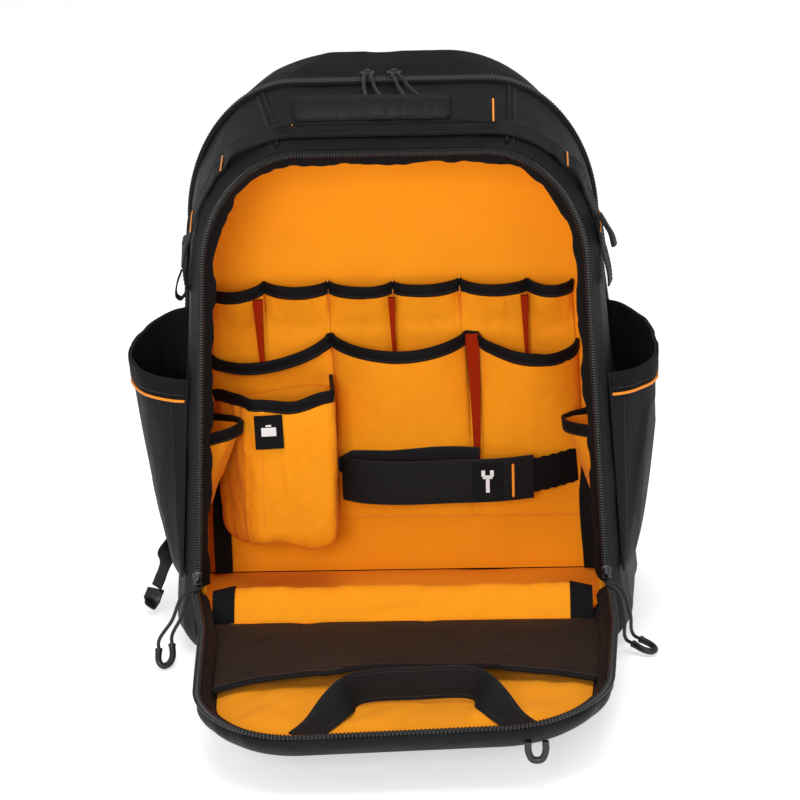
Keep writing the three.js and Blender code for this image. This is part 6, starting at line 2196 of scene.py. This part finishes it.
@dataclass
class ZipPulls:
    """Sliders of the zips and the cords with moulded bows on them."""

    form: BodyForm = FORM
    cord_radius: float = 1.4
    end_radius: float = 2.6
    half_spread: float = 6.0
    socket: float = 0.25
    bend: float = 0.8
    slider_x: float = 158.07
    slider_y: float = -121.48
    slider_foot: float = 61.0
    rest: float = 3.2
    front: tuple = (
        ("left", -1, (0.75, 0.55, 0.1), ((1, 1.5, 0.969), (9, 5.5, 0.922), (17, 9.5, 0.602), (27, 6.5, 0.291),
                                         (26, 17.5, 0))),
        ("right", 1, (0.5, 0.8, 0.0), ((1, 1.5, 0.969), (9, 5.5, 0.922), (16, 2.5, 0.533), (19, -13.5, 0.1),
                                       (36, 0.5, 0))),
    )
    rear: tuple = (
        ("left", -17.0, (1.0, 0.0, 0.0),
         ((0, 6.2, 8.1), (0, 14, 7.6), (1, 27, 5), (5, 52, 4.2), (8, 73, 3.6))),
        ("right", 4.0, (0.9, 0.35, 0.0),
         ((0, 6.2, 8.1), (3, 14, 7.6), (7, 28, 5), (14, 50, 4.2), (20, 71, 3.6))),
    )

    def pull(self, name: str, side: Sequence[float], points: Grid) -> None:
        """Cord looped through a slider and the bow on its ends.

        Args:
            name: Name of the pull.
            side: Direction in which the two legs stand apart.
            points: Places of the slider, bend, knee, legs and tip.
        """
        top, over, knee, legs, tip = np.asarray(points, float)
        apart = np.asarray(side, float) / np.linalg.norm(side) * self.half_spread
        gap = CLEARANCE / np.linalg.norm(tip - legs)
        seat, socket, bend = (mix(legs, tip, share) for share in (self.socket - gap, self.socket, self.bend))
        upright = np.cross(apart, tip - top)

        def doubled(rows: list) -> list:
            """Both legs of a loop."""
            return [p + apart * s for p, s in rows] + [p - apart * s for p, s in rows[::-1]]

        path = spline(doubled([(seat, 1), (legs, 1), (knee, 0.7), (over, 0.5), (top, 0.27)]), 200)
        bow = spline(doubled([(socket, 1), (bend, 1), (tip, 0.45)]), 120)
        u = shares(len(bow))
        swell = 1 + 0.18 * (bump_at(u, 0.0, 0.07) + bump_at(u, 1.0, 0.07))
        swell[[0, -1]] *= 0.8
        width = self.end_radius * 1.9
        end = Skin().bar(bow, upright, (width, width, 16, 2.4), PLASTIC, swell[:, None])
        cord = Skin().bar(path, upright, (self.cord_radius * 2, self.cord_radius * 2, 14, 2.0), CORD)
        bow_piece = place(end, f"{name}_bow", [f"{name}_end"])
        cord_piece = place(cord, f"{name}_loop", [f"{name}_cord"])
        path = slumped(path)
        (path[0] * MM).tolist()
        (path * MM).tolist()

    def routes(self) -> None:
        """Builds the four cord pulls."""
        for name, side, apart, rows in self.front:
            points = [(side * (self.slider_x + out), self.slider_y - ahead,
                       mix(self.rest, self.slider_foot, rise)) for out, ahead, rise in rows]
            self.pull(f"front_pull_{name}", apart, points)
        for name, x, apart, rows in self.rear:
            points = [(x + out, self.form.zip - ahead, self.form.crown(self.form.zip - ahead) + lift)
                      for out, ahead, lift in rows]
            self.pull(f"rear_pull_{name}", apart, points)

    def slider(self, node: str, axis: int) -> Skin:
        """Zip slider: a waisted body and a bridge over it, within its node's box.

        Args:
            node: Node that it stands for.
            axis: Axis of its length.

        Returns:
            The slider.
        """
        low, high = (np.array(corner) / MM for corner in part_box(node))
        middle, size = (low + high) / 2, high - low
        thin = int(np.argmin(size))
        wide = 3 - thin - axis
        share = np.linspace(-0.5, 0.5, 40)
        path = middle + np.zeros((40, 3))
        path[:, axis] += share * size[axis]
        path[:, thin] += (0.22 if thin == 1 else -0.22) * size[thin]
        across = np.zeros(3)
        across[wide] = 1.0
        ends = np.clip((0.5 - np.abs(share)) * 9, 0.3, 1) ** 0.5
        waist = (1 - 0.22 * bump_at(share, -0.15, 0.2)) * ends
        swell = np.stack([waist, ends], 1)
        skin = Skin().bar(path, across, (size[wide], size[thin] * 0.55, 20, 3.2), METAL, swell)
        bridge = path[8:-8].copy()
        arc = np.sin(np.linspace(0, math.pi, len(bridge)))
        bridge[:, thin] = middle[thin] + (-1 if thin == 1 else 1) * (arc * 0.42 - 0.05) * size[thin]
        return skin.bar(bridge, across, (size[wide] * 0.34, 1.1, 12, 2.6), METAL)

    def flap_pull(self) -> Skin:
        """Moulded bow that hangs at the flap's far edge."""
        low, high = (np.array(corner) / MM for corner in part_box("flap_pull_end"))
        middle = (low + high) / 2
        top, foot = high[2], low[2] + self.end_radius
        rows = [(-1, top), (-1, foot + 6), (-0.5, foot), (0.5, foot), (1, foot + 6), (1, top)]
        path = spline([(middle[0] + s * self.half_spread, middle[1], z) for s, z in rows], 110)
        section = rounded_section(self.end_radius * 1.9, self.end_radius * 1.9, 16, 2.4)
        return Skin().tube(swept(path, (0, 1, 0), section), PLASTIC)

    def make_sliders(self) -> None:
        """Builds the sliders and the flap's pull."""
        for name in ("left", "right"):
            for zip_name, axis in (("front", 2), ("rear", 0)):
                node = f"{zip_name}_slider_{name}"
                place(self.slider(node, axis), f"{zip_name}_slider_metal_{name}", [node])
        place(self.flap_pull(), "flap_pull_bow", ["flap_pull_end"])


@dataclass
class Trims:
    """Bar tacks, seams, side buckle and webbing ends on the outside of the body."""

    form: BodyForm = FORM
    tack_places: tuple = (-129.0, 131.0)
    seam_ends: tuple = ((-100.0, -86.5), (94.0, 87.0))

    def tacks(self) -> Skin:
        """Orange bar tacks across the shoulder webbing and at its feet."""
        skin = Skin()
        depth = np.linspace(-98.5, -72.5, 20)
        for x in self.tack_places:
            line = self.form.spot(x, depth, 3.4)
            bar_tack(skin, line, line[10] - np.array([0, line[10][1], 300.0]), 2.0, 1.0)
        for side, height in ((-1, 338.0), (1, 332.0)):
            z = np.linspace(height - 4, height + 9, 20)
            y = np.linspace(-97.0, -76.0, 20)
            line = self.form.lean(np.stack([side * (self.form.side(y, z) + 3.3), y, z], -1))
            bar_tack(skin, line, (side, -0.2, 0.3), 2.0, 1.0)
        return skin

    def seams(self) -> Skin:
        """Two lapped seams that run from the rear zip to the opening."""
        skin = Skin()
        y = np.linspace(20.0, -107.0, 90)
        for rear, front in self.seam_ends:
            x = mix(rear, front, shares(90))
            line = self.form.spot(x, y, 0.5)
            skin.bar(line, (1, 0, 0.1), (3.4, 1.8, 14, 2.6), BLACK)
            outward = unit(self.form.spot(x, y, 3.0) - self.form.spot(x, y, 0.0))
            sides = self.form.spot(x + 5.0 * math.copysign(1, rear), y, 0.35)
            skin.stitches(sides, outward, BLACK_THREAD, 3.4, 0.26)
        return skin

    def buckle(self) -> Skin:
        """Ladder buckle on the left side with the webbing that runs through it."""
        skin = Skin()
        y = -30.0
        z = np.linspace(293.0, 317.0, 30)
        face = -self.form.side(y, z)
        frame = points_at(face - 4.2, y + 6, z)
        ends = np.clip(np.minimum(np.arange(30), np.arange(29, -1, -1)) / 4 + 0.45, 0, 1)
        for shift in (-8.0, 8.0):
            skin.tube(swept(frame + np.array([0, shift, 0]), (0, 1, 0), rounded_section(3.4, 5.4, 16, 3.0),
                            ends[:, None]), PLASTIC)
        for height in (294.5, 302.0, 308.5, 315.5):
            row = np.linspace(-8.0, 8.0, 20)
            middle = float(-self.form.side(y, height)) - 4.4
            bar = points_at(middle, y + 6 + row, height)
            skin.bar(bar, (0, 0, 1), (3.6, 3.4, 14, 2.6), PLASTIC)
        strap = np.linspace(330.0, 272.0, 60)
        bulge = 2.8 + 2.2 * bump_at(strap, 305.0, 9.0)
        line = points_at(-self.form.side(y, strap) - bulge, y + 6, strap)
        return skin.bar(line, (0, 1, 0), (14.0, 1.5, 24, 6.0), WEBBING)

    def loop(self) -> Skin:
        """Loop of webbing that hangs under the buckle."""
        y = -24.0
        z = np.array([272.0, 268.0, 270.0, 280.0, 290.0])
        out = np.array([2.6, 6.0, 9.4, 9.6, 6.6])
        path = spline(points_at(-self.form.side(y, z) - out, y, z), 60)
        return Skin().bar(path, (0, 1, 0), (14.0, 1.4, 22, 6.0), WEBBING)

    def webbing_end(self) -> Skin:
        """Folded webbing end that stands out of the right shoulder's webbing."""
        side = float(self.form.side(-80.0, 318.0))
        rows = ((-1.5, -84, 342), (2.5, -85, 335), (7, -86, 327), (9.5, -87, 318))
        path = spline([(side + out, y, z) for out, y, z in rows], 50)
        skin = Skin().bar(path, (0.2, 1, -0.35), (19.0, 3.2, 26, 6.0), WEBBING)
        return skin

    def make(self) -> None:
        """Builds the trims."""
        place(self.tacks(), "shoulder_bar_tacks", slot="orange_cloth")
        place(self.seams(), "body_lapped_seams", slot="black_cloth")
        place(self.buckle(), "side_ladder_buckle", slot="black_plastic")
        place(self.loop(), "side_webbing_loop", slot="black_webbing")
        place(self.webbing_end(), "right_webbing_end", slot="black_webbing")


@dataclass
class Studio:
    """Camera of the photograph, soft lights and a pale floor."""

    elevation: float = 15.0
    yaw: float = -2.0
    roll: float = 1.5
    distance: float = 2600.0
    focal: float = 1.28
    anchor: tuple = (0.0, -115.0, 0.0)
    pixel: tuple = (404.0, 655.0)
    frame_size: float = 800.0

    def camera(self) -> None:
        """Camera that sees the anchor point at its pixel of the square picture."""
        e, yaw, roll = (math.radians(v) for v in (self.elevation, self.yaw, self.roll))
        ahead = np.array([math.sin(yaw) * math.cos(e), math.cos(yaw) * math.cos(e), -math.sin(e)])
        level = np.array([math.cos(yaw), -math.sin(yaw), 0.0])
        upright = np.cross(level, ahead)
        right = level * math.cos(roll) - upright * math.sin(roll)
        up = upright * math.cos(roll) + level * math.sin(roll)
        focal = self.focal * self.distance
        half = self.frame_size / 2
        across = (self.pixel[0] - half) / focal * self.distance
        above = -(self.pixel[1] - half) / focal * self.distance
        spot = np.array(self.anchor) - self.distance * ahead - across * right - above * up
        data = bpy.data.cameras.new("photo_camera")
        data.sensor_width = 36.0
        data.lens = 36.0 * focal / self.frame_size
        data.clip_end = 50.0
        camera = bpy.data.objects.new("photo_camera", data)
        columns = np.stack([right, up, -ahead], 1)
        matrix = np.eye(4)
        matrix[:3, :3] = columns
        matrix[:3, 3] = spot * MM
        camera.matrix_world = Matrix(matrix.tolist())
        bpy.context.scene.collection.objects.link(camera)
        bpy.context.scene.camera = camera

    def light(self, name: str, spot: Sequence[float], aim: Sequence[float], size: float,
              power: float) -> None:
        """Square soft light.

        Args:
            name: Name of the light.
            spot: Place in metres.
            aim: Point that it faces, in metres.
            size: Side in metres.
            power: Watts.
        """
        data = bpy.data.lights.new(name, "AREA")
        data.shape = "SQUARE"
        data.size = size
        data.energy = power
        lamp = bpy.data.objects.new(name, data)
        lamp.location = spot
        lamp.rotation_euler = (Vector(aim) - Vector(spot)).to_track_quat("-Z", "Y").to_euler()
        bpy.context.scene.collection.objects.link(lamp)

    def floor(self) -> None:
        """Plain pale floor."""
        mesh = bpy.data.meshes.new("studio_floor")
        side = 30.0
        mesh.from_pydata([(-side, -side, -0.001), (side, -side, -0.001), (side, side, -0.001),
                          (-side, side, -0.001)], [], [(0, 1, 2, 3)])
        material = bpy.data.materials.new("studio_floor")
        material.use_nodes = True
        shader = material.node_tree.nodes["Principled BSDF"]
        shader.inputs["Base Color"].default_value = (0.93, 0.93, 0.93, 1.0)
        shader.inputs["Emission Color"].default_value = (1.0, 1.0, 1.0, 1.0)
        shader.inputs["Emission Strength"].default_value = 0.5
        shader.inputs["Roughness"].default_value = 0.9
        shader.inputs["Specular IOR Level"].default_value = 0.1
        mesh.materials.append(material)
        floor = bpy.data.objects.new("studio_floor", mesh)
        bpy.context.scene.collection.objects.link(floor)

    def make(self) -> None:
        """Sets up the floor, world and lights."""
        self.floor()
        world = bpy.data.worlds.new("studio_world")
        world.use_nodes = True
        background = world.node_tree.nodes["Background"]
        background.inputs["Color"].default_value = (1.0, 1.0, 1.0, 1.0)
        background.inputs["Strength"].default_value = 0.48
        bpy.context.scene.world = world
        self.light("key_light", (-0.4, -3.1, 1.0), (0, -0.1, 0.35), 1.0, 50)
        self.light("fill_light", (1.4, -2.8, 0.8), (0, -0.1, 0.25), 1.1, 7)
        self.light("top_light", (0.0, -0.9, 2.5), (0, -0.3, 0.1), 1.4, 25)
        scene = bpy.context.scene
        scene.view_settings.view_transform = "Standard"
        scene.view_settings.look = "None"


def main() -> None:
    """Builds the camera and cords first, then the sub-assemblies."""
    logging.basicConfig(level=logging.INFO, format="%(message)s")
    studio = Studio()
    studio.camera()
    pulls = ZipPulls()
    pulls.routes()
    assemblies = (Shells, PocketWall, BatteryPocket, ToolStrap, SidePockets, Flap, TopHandle, Harness, Trims)
    for assembly in assemblies:
        assembly().make()
    pulls.make_sliders()
    studio.make()
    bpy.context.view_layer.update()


if __name__ == "__main__":
    main()
